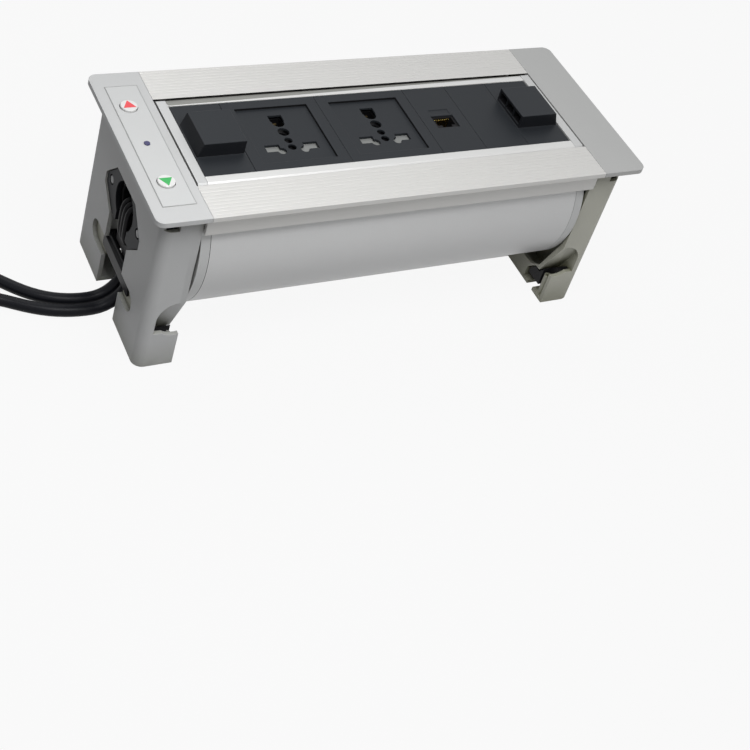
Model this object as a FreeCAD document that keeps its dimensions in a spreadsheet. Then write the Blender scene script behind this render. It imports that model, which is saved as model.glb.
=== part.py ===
"""Motorised turn-over desk socket, every separate piece of it, in millimetres with +Z up.

The origin is the centre of the footprint on the plane of the housings' feet, X runs along the panel and
Y from the user's side to the back. The drum is drawn with its sockets facing up.
"""

import math
import os
import re

import FreeCAD
import Part
import Sketcher
from FreeCAD import Placement, Rotation, Vector

PARTS = "parts"

# Driving sizes, each named once.
SIZES = {
    "panel_length": 300,
    "panel_width": 120,
    "overall_height": 112,
    "plate_thick": 3,
    "plate_corner": 5,
    "end_x": 121,
    "seam": 0.15,
    "shell_x": 142.5,
    "shell_y": 52.5,
    "shell_corner": 6,
    "wall": 2.5,
    "drum_radius": 54,
    "axis_depth": 42.3,
    "drum_gap": 1.1,
    "drum_skin": 2,
    "drum_clear": 1.1,
    "cap_depth": 5.5,
    "flat_thick": 2.1,
    "skirt_y": 55.2,
    "skirt_thick": 2,
    "skirt_depth": 16.1,
    "lip_thick": 2,
    "groove_width": 0.7,
    "groove_depth": 0.35,
    "tie_half": 11.7,
    "tie_shift": 1.6,
    "tie_hollow_half": 4.2,
    "tie_height": 9,
    "tie_screw_in": 5,
    "tie_screw_z": 5.5,
    "web_half": 18,
    "web_height": 14,
    "window_half": 28.2,
    "window_rise": 14.6,
    "window_side_rise": 0.8,
    "window_side_drop": 5.7,
    "window_drop": 17.7,
    "throat_half": 15,
    "notch_x": 129,
    "line_slot_half": 33,
    "line_slot_height": 6,
    "line_slot_z": 27,
    "foot_slot_y": 38,
    "foot_slot_end": 134.2,
    "foot_slot_width": 6,
    "scoop_low": 24.5,
    "scoop_high": 46,
    "scoop_end": 135.5,
    "scoop_round": 12,
    "ramp_in": 12,
    "ramp_low": 17,
    "ramp_thick": 2.7,
    "post_in": 3.4,
    "post_y": 46.2,
    "post_high": 17,
    "claw_low": 7,
    "claw_high": 15,
    "claw_inner": 31.2,
    "strap_front": 25,
    "strap_back": 19,
    "button_x": 135.8,
    "button_y": 30.5,
    "button_radius": 4.6,
    "button_gap": 0.3,
    "label_inner": 126,
    "label_outer": 143.4,
    "label_half": 48,
    "label_thick": 0.25,
    "plate_inner": 134,
    "plate_outer": 137,
    "plate_half": 46,
    "plate_drop": 17.7,
    "plate_rise": 31.8,
    "plate_screw_y": 40,
    "plate_screw_drop": 9.7,
    "plate_screw_rise": 26.3,
    "rail_screw_in": 6,
    "rail_screw_y": 48,
    "ear_low": 43,
    "journal_radius": 15,
    "journal_bore": 12,
    "bush_radius": 18,
    "flange_radius": 20,
    "flange_wide": 1.6,
    "bush_screw_y": 23.5,
    "gland_drop": 21,
    "gland_height": 11.7,
    "cord_drop": 24.7,
    "motor_drop": 36.7,
    "motor_head_drop": 12,
    "motor_rise": 20.3,
    "motor_can_radius": 5.8,
    "gear_module": 1,
    "gear_inner": 121.6,
    "gear_outer": 125.6,
    "bezel_inner": 28.95,
    "ledge_inner": 26.4,
    "ledge_drop": 3.6,
    "bar_drop": 5.8,
    "module_unit": 28.5,
    "module_gap": 0.1,
    "module_drop": 0.5,
    "module_thick": 3,
    "block_half": 13.5,
    "block_rise": 8,
    "inset_x": 21.7,
    "inset_y": 22.8,
    "inset_depth": 1.5,
    "shutter_gap": 0.4,
    "shutter_thick": 1.2,
    "blade_x": 10,
    "blade_half": 6.2,
    "cord_diameter": 7,
    "plug_length": 46,
    "plug_width": 49,
    "plug_height": 22,
    "plug_back": 9,
    "pin_back": 19.5,
    "pin_length": 17.7,
    "earth_back": 41.7,
    "earth_length": 22.7,
    "boot_length": 13,
    "small_plug_length": 21,
    "small_plug_width": 11.6,
    "small_plug_height": 8,
}

GEAR_TEETH = 64
PINION_TEETH = 16
PINION_ANGLE = 50.0
BOSS_COS = math.cos(math.radians(25))
BOSS_SIN = math.sin(math.radians(25))

# Expressions that several pieces share.
TOP = "overall_height"
UNDER = "(overall_height - plate_thick)"
AXIS = "(overall_height - axis_depth)"
SHELL_IN_X = "(shell_x - wall)"
SHELL_IN_Y = "(shell_y - wall)"
LID_LOW = "(overall_height - 2 * axis_depth)"
BAR_LOW = "(overall_height - bar_drop)"
FACE_TOP = "(overall_height - module_drop)"
FACE_LOW = "(overall_height - module_drop - module_thick)"
BOSS_RADIUS = "(drum_radius - drum_skin - 3)"
SKIRT_LOW = "(overall_height - skirt_depth)"
RAIL_SCREW_X = "(end_x - rail_screw_in)"
DRUM_END = "(end_x - drum_clear)"
DRUM_SEAM = "(end_x - drum_clear - cap_depth)"
PLATE_LOW = f"({AXIS} - plate_drop)"
PLATE_HIGH = f"({AXIS} + plate_rise)"
GLAND_TOP = f"({AXIS} - gland_drop)"
GLAND_LOW = f"({AXIS} - gland_drop - gland_height)"
CORD_END = f"({AXIS} - cord_drop)"
PLATE_SCREW_HEIGHTS = (f"({AXIS} - plate_screw_drop)", f"({AXIS} + plate_screw_rise)")

doc = FreeCAD.newDocument("desk_socket")
sheet = doc.addObject("Spreadsheet::Sheet", "Sizes")
nodes = []


def fill_sheet():
    """Write each size into its own named cell."""
    for row, (alias, value) in enumerate(SIZES.items(), start=1):
        sheet.set(f"A{row}", alias)
        sheet.set(f"B{row}", str(value))
        sheet.setAlias(f"B{row}", alias)
    doc.recompute()


def size(alias):
    """The number in a named cell."""
    return float(sheet.get(alias))


def bound(text):
    """Turn a short expression into one that reads the sheet."""
    return re.sub(r"[a-z][a-z_]*", lambda word: "Sizes." + word.group(0), str(text))


def span(side, low, high):
    """A stretch of X on the right (side 1) or mirrored to the left (side -1)."""
    if side > 0:
        return (low, high)
    return (f"-({high})", f"-({low})")


def around(centre, half):
    """A stretch centred on one expression."""
    return (f"({centre}) - ({half})", f"({centre}) + ({half})")


def place(piece, x, y, z):
    """Tie a piece's position to the sheet."""
    for axis, text in zip("xyz", (x, y, z)):
        piece.setExpression(f"Placement.Base.{axis}", bound(text))


def box(x, y, z):
    """A box between a low and a high expression on each axis."""
    piece = doc.addObject("Part::Box", "Box")
    for name, (low, high) in zip(("Length", "Width", "Height"), (x, y, z)):
        piece.setExpression(name, bound(f"({high}) - ({low})"))
    place(piece, x[0], y[0], z[0])
    return piece


TURNS = {
    "x": Rotation(Vector(0, 1, 0), 90),
    "y": Rotation(Vector(1, 0, 0), -90),
    "z": Rotation(),
}


def rod(axis, radius, reach, first, second):
    """A cylinder along an axis; first and second are its centre on the other two axes, in order."""
    piece = doc.addObject("Part::Cylinder", "Rod")
    piece.setExpression("Radius", bound(radius))
    piece.setExpression("Height", bound(f"({reach[1]}) - ({reach[0]})"))
    piece.Placement = Placement(Vector(), TURNS[axis])
    centre = {
        "x": (reach[0], first, second),
        "y": (first, reach[0], second),
        "z": (first, second, reach[0]),
    }[axis]
    place(piece, *centre)
    return piece


SKETCH_TURNS = {
    "x": Rotation(Vector(1, 1, 1), 120),
    "y": Rotation(Vector(1, 0, 0), 90),
    "z": Rotation(),
}
SKETCH_NORMALS = {"x": Vector(1, 0, 0), "y": Vector(0, 1, 0), "z": Vector(0, 0, 1)}


def prism(axis, corners, reach):
    """A straight-sided prism along an axis; corners are expression pairs on the other two, in order."""
    sketch = doc.addObject("Sketcher::SketchObject", "Outline")
    sketch.Placement = Placement(Vector(), SKETCH_TURNS[axis])
    values = [[value_of(text) for text in corner] for corner in corners]
    count = len(corners)
    for index in range(count):
        start = Vector(*values[index], 0)
        end = Vector(*values[(index + 1) % count], 0)
        sketch.addGeometry(Part.LineSegment(start, end))
    for index in range(count):
        sketch.addConstraint(Sketcher.Constraint("Coincident", index, 2, (index + 1) % count, 1))
    for index, corner in enumerate(corners):
        for kind, value, text in zip(("DistanceX", "DistanceY"), values[index], corner):
            number = sketch.addConstraint(Sketcher.Constraint(kind, -1, 1, index, 1, value))
            sketch.setExpression(f"Constraints[{number}]", bound(text))
    solid = doc.addObject("Part::Extrusion", "Prism")
    solid.Base = sketch
    solid.DirMode = "Custom"
    solid.Dir = SKETCH_NORMALS[axis]
    solid.Solid = True
    solid.setExpression("LengthFwd", bound(f"({reach[1]}) - ({reach[0]})"))
    offset = {"x": (reach[0], "0", "0"), "y": ("0", reach[0], "0"), "z": ("0", "0", reach[0])}[axis]
    place(solid, *offset)
    return solid


def value_of(text):
    """The number that an expression of sheet names stands for now."""
    return float(sheet.evalExpression(str(text)))


def fuse(pieces):
    """Join pieces into one solid."""
    joined = doc.addObject("Part::MultiFuse", "Join")
    joined.Shapes = pieces
    joined.Refine = True
    return joined


def cut(base, tools):
    """Take the tools away from a base."""
    tool = tools[0]
    if len(tools) > 1:
        tool = doc.addObject("Part::MultiFuse", "Tools")
        tool.Shapes = tools
    result = doc.addObject("Part::Cut", "Cut")
    result.Base = base
    result.Tool = tool
    result.Refine = True
    return result


def common(pieces):
    """What all the pieces share."""
    result = doc.addObject("Part::MultiCommon", "Common")
    result.Shapes = pieces
    return result


def rounded(base, radius, chooses):
    """Round the edges that a test of an edge's middle and direction chooses."""
    doc.recompute()
    edges = []
    for number, edge in enumerate(base.Shape.Edges, start=1):
        middle = edge.CenterOfMass
        along = edge.tangentAt(edge.FirstParameter)
        if chooses(middle, along):
            edges.append((number, radius, radius))
    result = doc.addObject("Part::Fillet", "Round")
    result.Base = base
    result.Edges = edges
    return result


def group(pieces):
    """Several separate solids under one name."""
    gathered = doc.addObject("Part::Compound", "Group")
    gathered.Links = pieces
    return gathered


def solid_from(shape):
    """A feature for a form that no primitive or sketch makes."""
    piece = doc.addObject("Part::Feature", "Form")
    piece.Shape = shape
    return piece


def finish(piece, name):
    """Name a finished sub-part, which is also its file's name."""
    piece.Label = name
    nodes.append(piece)


def make_housing(side, name):
    """One end of the panel with the shell that hangs from it, open towards the drum."""
    length = size("panel_length") / 2
    across = ("-panel_width / 2", "panel_width / 2")
    plate = box(span(side, "end_x", "panel_length / 2"), across, (UNDER, TOP))
    plate = rounded(
        plate, size("plate_corner"), lambda middle, along: abs(along.z) > 0.9 and abs(middle.x) > length - 1
    )
    outer = box(span(side, "end_x", "shell_x"), ("-shell_y", "shell_y"), ("0", UNDER))
    edge_x = size("shell_x")
    outer = rounded(
        outer, size("shell_corner"), lambda middle, along: abs(along.z) > 0.9 and abs(middle.x) > edge_x - 1
    )
    hollow = box(span(side, "end_x - 1", SHELL_IN_X), around("0", SHELL_IN_Y), ("wall", f"{UNDER} + 1"))
    shell = cut(outer, [hollow])
    openings = []
    additions = [plate]
    for face in (-1, 1):
        openings += wall_openings(side, face)
        additions += wall_additions(side, face)
    if side < 0:
        openings += cable_openings()
    shell = cut(shell, openings)
    web = box(span(side, "end_x", "end_x + wall"), around("0", "web_half"), ("0", "web_height"))
    additions.append(web)
    whole = fuse([shell] + additions)
    thread = span(side, "end_x - 1", "end_x + 2 * wall")
    holes = [rod("x", 1.6, thread, tie_screw_y(face), "tie_screw_z") for face in (-1, 1)]
    holes += [plate_screw_hole(side, face, height) for face in (-1, 1) for height in PLATE_SCREW_HEIGHTS]
    holes += [post_hole(side, face) for face in (-1, 1)]
    for face in (-1, 1):
        reach = (f"{UNDER} - 6", UNDER)
        holes.append(rod("z", 1.6, reach, f"{side} * {RAIL_SCREW_X}", f"{face} * rail_screw_y"))
    if side < 0:
        holes += control_holes()
    finish(cut(whole, holes), name)


def wall_openings(side, face):
    """The clamp scoop, the corner notch and the open foot slot of one wall."""
    through = ("shell_y - wall - 0.1", "shell_y + 1")
    if face < 0:
        through = ("-(shell_y + 1)", "-(shell_y - wall - 0.1)")
    lower = box(
        span(side, "end_x - 1", "scoop_end"), through, ("scoop_low", "scoop_high - scoop_round")
    )
    upper = box(span(side, "end_x - 1", "scoop_end - scoop_round"), through, ("scoop_low", "scoop_high"))
    round_x = f"{side} * (scoop_end - scoop_round)"
    curve = rod("y", "scoop_round", through, round_x, "scoop_high - scoop_round")
    notch_y = (SHELL_IN_Y, "shell_y + 1") if face > 0 else ("-(shell_y + 1)", f"-{SHELL_IN_Y}")
    notch = box(span(side, "scoop_end - 2", "shell_x + 1"), notch_y, (f"{UNDER} - 11", UNDER))
    slot_centre = f"{face} * foot_slot_y"
    slot = box(
        span(side, "end_x - 1", "foot_slot_end - foot_slot_width / 2"),
        around(slot_centre, "foot_slot_width / 2"),
        ("-1", "wall + 0.1"),
    )
    slot_end = rod(
        "z",
        "foot_slot_width / 2",
        ("-1", "wall + 0.1"),
        f"{side} * (foot_slot_end - foot_slot_width / 2)",
        slot_centre,
    )
    return [lower, upper, curve, notch, slot, slot_end]


def wall_additions(side, face):
    """The scoop's ramp, cheek, rib and post, the rail ear and the bearing plate's bosses beside one wall."""
    ramp_end = "(shell_y - ramp_in - ramp_thick)"
    ramp = prism(
        "x",
        [
            (f"{face} * shell_y", "scoop_high"),
            (f"{face} * (shell_y - ramp_in)", "ramp_low"),
            (f"{face} * {ramp_end}", "ramp_low"),
            (f"{face} * {SHELL_IN_Y}", "scoop_high + wall"),
        ],
        span(side, "end_x", "scoop_end + 2.2"),
    )
    cheek = prism(
        "x",
        [
            (f"{face} * ({SHELL_IN_Y} + 0.5)", "scoop_high + wall"),
            (f"{face} * {ramp_end}", "ramp_low"),
            (f"{face} * {ramp_end}", "wall - 0.5"),
            (f"{face} * ({SHELL_IN_Y} + 0.5)", "wall - 0.5"),
        ],
        span(side, "scoop_end", "scoop_end + 2.2"),
    )
    rib = prism(
        "x",
        [
            (f"{face} * (web_half - 0.5)", "0"),
            (f"{face} * (web_half - 0.5)", "web_height"),
            (f"{face} * claw_inner", "web_height"),
            (f"{face} * ({ramp_end} + 1)", "ramp_low + 2.5"),
            (f"{face} * (shell_y - ramp_in - 0.3)", "ramp_low"),
            (f"{face} * (foot_slot_y - 2)", "ramp_low - 0.5"),
            (f"{face} * (claw_inner - 1.2)", "claw_low + 3"),
            (f"{face} * (claw_inner - 1.2)", "0"),
        ],
        span(side, "end_x", "end_x + wall"),
    )
    post_x = f"{side} * (end_x + post_in)"
    post = rod("z", 2.3, ("wall - 0.5", "post_high"), post_x, f"{face} * post_y")
    ear_y = ("ear_low", "skirt_y - skirt_thick - 0.3")
    if face < 0:
        ear_y = ("-(skirt_y - skirt_thick - 0.3)", "-ear_low")
    ear_z = (f"{UNDER} - 3", f"{UNDER} - seam")
    ear = box(span(side, "end_x - 2 * rail_screw_in", "end_x + 5"), ear_y, ear_z)
    ear_root = box(span(side, "end_x", "end_x + 5"), ear_y, (f"{UNDER} - 3", f"{UNDER} + 0.5"))
    bosses = [
        rod("x", 4, span(side, "plate_outer", f"{SHELL_IN_X} + 0.5"), f"{face} * plate_screw_y", height)
        for height in PLATE_SCREW_HEIGHTS
    ]
    return [ramp, cheek, rib, post, ear, ear_root] + bosses


def tie_screw_y(face):
    """Where a screw of the tie bar sits across the bar."""
    return f"(tie_shift + {face} * (tie_half - tie_screw_in))"


def post_hole(side, face):
    """The blind bore in the top of the post beside one claw."""
    reach = ("post_high - 6", "post_high + 1")
    return rod("z", 1.2, reach, f"{side} * (end_x + post_in)", f"{face} * post_y")


def plate_screw_hole(side, face, height):
    """The blind thread of one bearing plate screw."""
    reach = span(side, "plate_outer - 1", f"{SHELL_IN_X} + 1")
    return rod("x", 1.6, reach, f"{face} * plate_screw_y", height)


def cable_openings():
    """The window, throat, strap slot and bottom notch of the left housing's outer side."""
    across = span(-1, f"{SHELL_IN_X} - 0.5", "shell_x + 1")
    corners = [
        ("throat_half", f"{AXIS} + window_rise"),
        ("window_half", f"{AXIS} + window_side_rise"),
        ("window_half", f"{AXIS} - window_side_drop"),
        ("throat_half", f"{AXIS} - window_drop"),
        ("-throat_half", f"{AXIS} - window_drop"),
        ("-window_half", f"{AXIS} - window_side_drop"),
        ("-window_half", f"{AXIS} + window_side_rise"),
        ("-throat_half", f"{AXIS} + window_rise"),
    ]
    window = prism("x", corners, across)
    throat = box(across, around("0", "throat_half"), ("-1", f"{AXIS} - window_drop + 1"))
    bottom = box(span(-1, "notch_x", "shell_x + 1"), around("0", "throat_half"), ("-1", "wall + 0.5"))
    slot = box(
        across,
        around("0", "line_slot_half - line_slot_height / 2"),
        around("line_slot_z", "line_slot_height / 2"),
    )
    ends = [
        rod(
            "x",
            "line_slot_height / 2",
            across,
            f"{face} * (line_slot_half - line_slot_height / 2)",
            "line_slot_z",
        )
        for face in (-1, 1)
    ]
    return [window, throat, bottom, slot] + ends


def control_holes():
    """The holes in the left plate for the two buttons and the lamp."""
    down = (f"{UNDER} - 1", f"{TOP} + 1")
    holes = [
        rod("z", "button_radius + button_gap", down, "-button_x", f"{face} * button_y") for face in (-1, 1)
    ]
    holes.append(rod("z", 1.7, down, "-button_x", "0"))
    for face in (-1, 1):
        relief = (f"{UNDER} - 4", UNDER)
        holes.append(rod("z", "button_radius + 1.4", relief, "-button_x", f"{face} * button_y"))
    return holes


def make_rail(face, name):
    """A grooved top rail with its skirt and inner lip, shaved back to clear the drum."""
    ends = ("-(end_x - seam)", "end_x - seam")

    def deep(low, high):
        return (low, high) if face > 0 else (f"-({high})", f"-({low})")

    plate = box(ends, deep("30", "panel_width / 2"), (UNDER, TOP))
    skirt = box(ends, deep("skirt_y - skirt_thick", "skirt_y"), (SKIRT_LOW, f"{UNDER} + 0.5"))
    lip = box(ends, deep("40", "skirt_y"), (SKIRT_LOW, f"{SKIRT_LOW} + lip_thick"))
    drum_room = rod("x", "drum_radius + drum_gap", ("-end_x - 1", "end_x + 1"), "0", AXIS)
    grooves = []
    for index in range(9):
        centre = f"(38.5 + {index} * (panel_width / 2 - 40.5) / 8)"
        half = "groove_width / 2"
        grooves.append(
            box(
                ("-end_x - 1", "end_x + 1"),
                deep(f"{centre} - {half}", f"{centre} + {half}"),
                (f"{TOP} - groove_depth", f"{TOP} + 1"),
            )
        )
    holes = [
        rod("z", 1.5, (f"{UNDER} - 1", f"{UNDER} + 2"), f"{side} * {RAIL_SCREW_X}", f"{face} * rail_screw_y")
        for side in (-1, 1)
    ]
    finish(cut(fuse([plate, skirt, lip]), [drum_room] + grooves + holes), name)


def make_rail_screws():
    """The four screws that hold the rails on the housings' ears."""
    screws = []
    for side in (-1, 1):
        for face in (-1, 1):
            x = f"{side} * {RAIL_SCREW_X}"
            y = f"{face} * rail_screw_y"
            head = rod("z", 2.8, (f"{UNDER} - 5", f"{UNDER} - 3"), x, y)
            shank = rod("z", 1.45, (f"{UNDER} - 3.5", f"{UNDER} + 1.9"), x, y)
            screws.append(fuse([head, shank]))
    finish(group(screws), "rail_screws")


def make_tie_bar():
    """The ribbed bar that ties the feet of the two housings together."""
    ends = ("-end_x", "end_x")
    bar = box(ends, around("tie_shift", "tie_half"), ("0", "tie_height"))
    through = ("-end_x - 1", "end_x + 1")
    cuts = [box(through, around("tie_shift", "tie_hollow_half"), ("1.8", "tie_height - 1.8"))]
    for face in (-1, 1):
        cuts.append(rod("x", 1.5, through, tie_screw_y(face), "tie_screw_z"))
        for index in range(4):
            centre = f"tie_height * {index + 1} / 5"
            depth = ("tie_shift + tie_half - 0.6", "tie_shift + tie_half + 1")
            if face < 0:
                depth = ("tie_shift - tie_half - 1", "tie_shift - tie_half + 0.6")
            cuts.append(box(through, depth, around(centre, "0.4")))
    finish(cut(bar, cuts), "bottom_tie_bar")
    screws = []
    for side in (-1, 1):
        for face in (-1, 1):
            y = tie_screw_y(face)
            head = rod("x", 2.8, span(side, "end_x + wall", "end_x + wall + 1.8"), y, "tie_screw_z")
            shank = rod("x", 1.45, span(side, "end_x - 9", "end_x + wall + 1"), y, "tie_screw_z")
            screws.append(fuse([head, shank]))
    finish(group(screws), "tie_bar_screws")


def make_claw_nuts():
    """A tapped claw beside each foot slot: it stands on the floor at the wall and reaches over the slot."""
    outline = [
        (f"({SHELL_IN_Y} - 0.05)", "wall"),
        (f"({SHELL_IN_Y} - 0.05)", "scoop_low - 0.5"),
        (f"({SHELL_IN_Y} - 2.5)", "scoop_low - 0.5"),
        ("(foot_slot_y + 5.5)", "claw_high + 5.3"),
        ("(foot_slot_y + 2.2)", "claw_high"),
        ("(foot_slot_y - 2.8)", "claw_high"),
        ("claw_inner", "claw_low + 1.6"),
        ("claw_inner", "claw_low"),
        ("(foot_slot_y + 5.8)", "claw_low"),
        ("(foot_slot_y + 5.8)", "wall"),
    ]
    for side, hand in ((-1, "left"), (1, "right")):
        for face, place_name in ((-1, "front"), (1, "back")):
            corners = [(f"{face} * {y}", z) for y, z in outline]
            claw = prism("x", corners, span(side, "end_x + 1", "scoop_end - 0.6"))
            beside = (f"{face} * (post_y - 2.8)", f"{face} * shell_y")
            if face < 0:
                beside = beside[::-1]
            step = box(span(side, "end_x", "end_x + post_in + 2.8"), beside, ("0", "scoop_low + 1"))
            x = f"{side} * (end_x + 6.6)"
            hole = rod("z", 2.5, ("wall", "claw_high + 1"), x, f"{face} * foot_slot_y")
            finish(cut(claw, [step, hole]), f"claw_nut_{place_name}_{hand}")


def make_controls():
    """The label, lamp, circuit board, key switches and the two round buttons on the left plate."""
    down = (f"{TOP} - 1", f"{TOP} + 2")
    label_top = f"{TOP} + label_thick"
    label = box(span(-1, "label_inner", "label_outer"), around("0", "label_half"), (TOP, label_top))
    holes = []
    for face in (-1, 1):
        holes.append(rod("z", "button_radius + button_gap", down, "-button_x", f"{face} * button_y"))
    holes.append(rod("z", 1.7, down, "-button_x", "0"))
    finish(cut(label, holes), "control_label")

    board_top = f"({UNDER} - 4.4)"
    lamp = rod("z", 1.6, (board_top, f"{TOP} + label_thick + 0.5"), "-button_x", "0")
    finish(lamp, "lamp_lens")
    board_reach = span(-1, "notch_x - 2", f"{SHELL_IN_X} - 0.5")
    board = box(board_reach, around("0", "45"), (f"{board_top} - 1.6", board_top))
    posts = [
        rod("z", 2.5, (f"{board_top} - 0.2", UNDER), "-(notch_x + 2)", f"{face} * 41") for face in (-1, 1)
    ]
    finish(fuse([board] + posts), "control_board")
    keys = []
    for face in (-1, 1):
        y = f"{face} * button_y"
        body = box(around("-button_x", "3"), around(y, "3"), (board_top, f"{board_top} + 1.1"))
        plunger = rod("z", 1.7, (f"{board_top} + 0.5", f"{board_top} + 1.5"), "-button_x", y)
        keys.append(fuse([body, plunger]))
    finish(group(keys), "key_switches")
    for face, name in ((1, "up_button"), (-1, "down_button")):
        y = f"{face} * button_y"
        cap = rod("z", "button_radius", (f"{UNDER} - 1.8", f"{TOP} + 1.4"), "-button_x", y)
        rim = size("button_radius")
        cap = rounded(
            cap, 0.5, lambda middle, along, r=rim: middle.z > size("overall_height") and abs(along.z) < 0.1
        )
        flange = rod("z", "button_radius + 1.1", (f"{UNDER} - 1.8", f"{UNDER} - 0.6"), "-button_x", y)
        finish(fuse([cap, flange]), name)


def make_bearing(side, hand):
    """The black plate behind the shell's side and its bush; returns their screws."""
    thick = span(side, "plate_inner", "plate_outer")
    plate = box(thick, around("0", "plate_half"), (PLATE_LOW, PLATE_HIGH))
    if side < 0:
        motor_tab = box(thick, ("-39.5", "-20"), (f"{AXIS} - motor_drop", f"{PLATE_LOW} + 1"))
        gland_tab = box(thick, ("-14", "10"), (GLAND_TOP, f"{PLATE_LOW} + 1"))
        plate = fuse([plate, motor_tab, gland_tab])
    cuts = [rod("x", "bush_radius", span(side, "plate_inner - 1", "plate_outer + 1"), "0", AXIS)]
    for face in (-1, 1):
        for height in PLATE_SCREW_HEIGHTS:
            y = f"{face} * plate_screw_y"
            cuts.append(rod("x", 1.6, span(side, "plate_inner - 1", "plate_outer + 1"), y, height))
            cuts.append(rod("x", 3.3, span(side, "plate_inner - 1", "plate_inner + 1.4"), y, height))
        through = span(side, "plate_inner - 1", "plate_outer + 1")
        cuts.append(rod("x", 1.3, through, f"{face} * bush_screw_y", AXIS))
    finish(cut(plate, cuts), f"bearing_plate_{hand}")

    sleeve = rod("x", "bush_radius - 0.03", span(side, "gear_outer + 1.4", "plate_outer + 0.5"), "0", AXIS)
    flange_reach = span(side, "plate_outer", "plate_outer + flange_wide")
    flange = rod("x", "flange_radius", flange_reach, "0", AXIS)
    ears = box(flange_reach, around("0", "bush_screw_y + 3.5"), around(AXIS, "4.5"))
    bore = rod("x", "journal_radius + 0.05", span(side, "end_x", "shell_x"), "0", AXIS)
    ear_reach = span(side, "plate_outer - 1", "plate_outer + 3")
    ear_holes = [rod("x", 1.3, ear_reach, f"{face} * bush_screw_y", AXIS) for face in (-1, 1)]
    finish(cut(fuse([sleeve, flange, ears]), [bore] + ear_holes), f"drum_bush_{hand}")

    plate_screws = []
    for face in (-1, 1):
        for height in PLATE_SCREW_HEIGHTS:
            y = f"{face} * plate_screw_y"
            head = rod("x", 3.2, span(side, "plate_inner", "plate_inner + 1.4"), y, height)
            shank = rod("x", 1.55, span(side, "plate_inner + 1", f"{SHELL_IN_X} + 0.9"), y, height)
            plate_screws.append(fuse([head, shank]))
    bush_screws = []
    for face in (-1, 1):
        y = f"{face} * bush_screw_y"
        head_reach = span(side, "plate_outer + flange_wide", "plate_outer + flange_wide + 1.2")
        head = rod("x", 2.6, head_reach, y, AXIS)
        shank = rod("x", 1.25, span(side, "plate_inner + 0.2", "plate_outer + flange_wide + 0.5"), y, AXIS)
        bush_screws.append(cut(fuse([head, shank]), [hex_recess(side, y)]))
    return plate_screws, bush_screws


def hex_recess(side, y):
    """The driver recess in a bush screw's head."""
    reach = span(side, "plate_outer + flange_wide + 0.6", "plate_outer + flange_wide + 2")
    return rod("x", 1.2, reach, y, AXIS)


def gear_outline(teeth, module, phase):
    """A closed outline of straight-flanked teeth about the origin, in the YZ plane."""
    pitch = teeth * module / 2
    tip = pitch + module * 0.95
    root = pitch - module * 1.2
    step = 2 * math.pi / teeth
    flank = ((root, -0.36), (pitch, -0.235), (tip, -0.11), (tip, 0.11), (pitch, 0.235), (root, 0.36))
    points = []
    for index in range(teeth):
        middle = phase + index * step
        for radius, share in flank:
            angle = middle + share * step
            points.append(Vector(0, radius * math.cos(angle), radius * math.sin(angle)))
    return Part.Face(Part.makePolygon(points + points[:1]))


def make_drive():
    """The geared motor, its pinion and the cord gland in the left housing."""
    module = size("gear_module")
    distance = module * (GEAR_TEETH + PINION_TEETH) / 2
    angle = math.radians(PINION_ANGLE)
    centre_y = -distance * math.sin(angle)
    drop = distance * math.cos(angle)
    axis_z = size("overall_height") - size("axis_depth")
    centre_z = axis_z - drop
    direction = math.atan2(-drop, centre_y)

    width = size("gear_outer") - size("gear_inner")
    ring = gear_outline(GEAR_TEETH, module, direction).extrude(Vector(width, 0, 0))
    ring.translate(Vector(-size("gear_outer"), 0, axis_z))
    hub = Part.makeCylinder(
        size("journal_radius") + 0.03, width + 2, Vector(-size("gear_outer") - 1, 0, axis_z), Vector(1, 0, 0)
    )
    finish(solid_from(ring.cut(hub)), "drum_gear")

    half_tooth = math.pi / PINION_TEETH
    outline = gear_outline(PINION_TEETH, module, direction + math.pi + half_tooth)
    teeth = outline.extrude(Vector(width + 0.4, 0, 0))
    teeth.translate(Vector(-size("gear_outer") - 0.2, centre_y, centre_z))
    shaft = Part.makeCylinder(
        2.45, width + 6, Vector(-size("gear_outer") - 5.5, centre_y, centre_z), Vector(1, 0, 0)
    )
    finish(solid_from(teeth.fuse(shaft).removeSplitter()), "motor_pinion")

    head = f"({AXIS} - motor_head_drop)"
    deep = span(-1, "gear_outer + 1", "plate_inner - 0.05")
    low = box(deep, ("-39.5", "-21"), (f"{AXIS} - motor_drop", head))
    arm = box(span(-1, "end_x + 1", "plate_inner - 0.05"), ("-46", "-34"), (f"{head} - 4", head))
    can = rod("z", "motor_can_radius", (f"{head} - 0.5", f"{AXIS} + motor_rise"), "-(end_x + 6.9)", "-40")
    shaft_reach = span(-1, "gear_outer", "gear_outer + 6")
    shaft_room = rod("x", 2.5, shaft_reach, str(round(centre_y, 4)), str(round(centre_z, 4)))
    finish(cut(fuse([low, arm, can]), [shaft_room]), "gear_motor")

    gland = box(span(-1, "notch_x - 2", "plate_outer + 1"), ("-14", "10"), (GLAND_LOW, GLAND_TOP))
    holes = [
        rod("z", "cord_diameter / 2 + 0.05", (f"{GLAND_LOW} - 1", CORD_END), str(-CORD_X), str(y))
        for y in (POWER_Y, DATA_Y)
    ]
    finish(cut(gland, holes), "cord_gland")
    strap = box(
        span(-1, f"{SHELL_IN_X} - 0.8", "shell_x - 0.2"),
        ("-strap_front", "strap_back"),
        ("line_slot_z - line_slot_height / 2", "line_slot_z + 1.2"),
    )
    finish(strap, "cord_strap")


def drum_disc(reach):
    """A slice of the drum's full outline, flats included."""
    return common(
        [
            rod("x", "drum_radius", reach, "0", AXIS),
            box(reach, ("-drum_radius", "drum_radius"), around(AXIS, "axis_depth")),
        ]
    )


def boss_centres(face):
    """Where the screw channels of one drum shell run, as expressions on Y and Z."""
    y = f"{face} * {BOSS_RADIUS} * {BOSS_COS:.4f}"
    return [(y, f"{AXIS} + {rise} * {BOSS_RADIUS} * {BOSS_SIN:.4f}") for rise in (-1, 1)]


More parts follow.
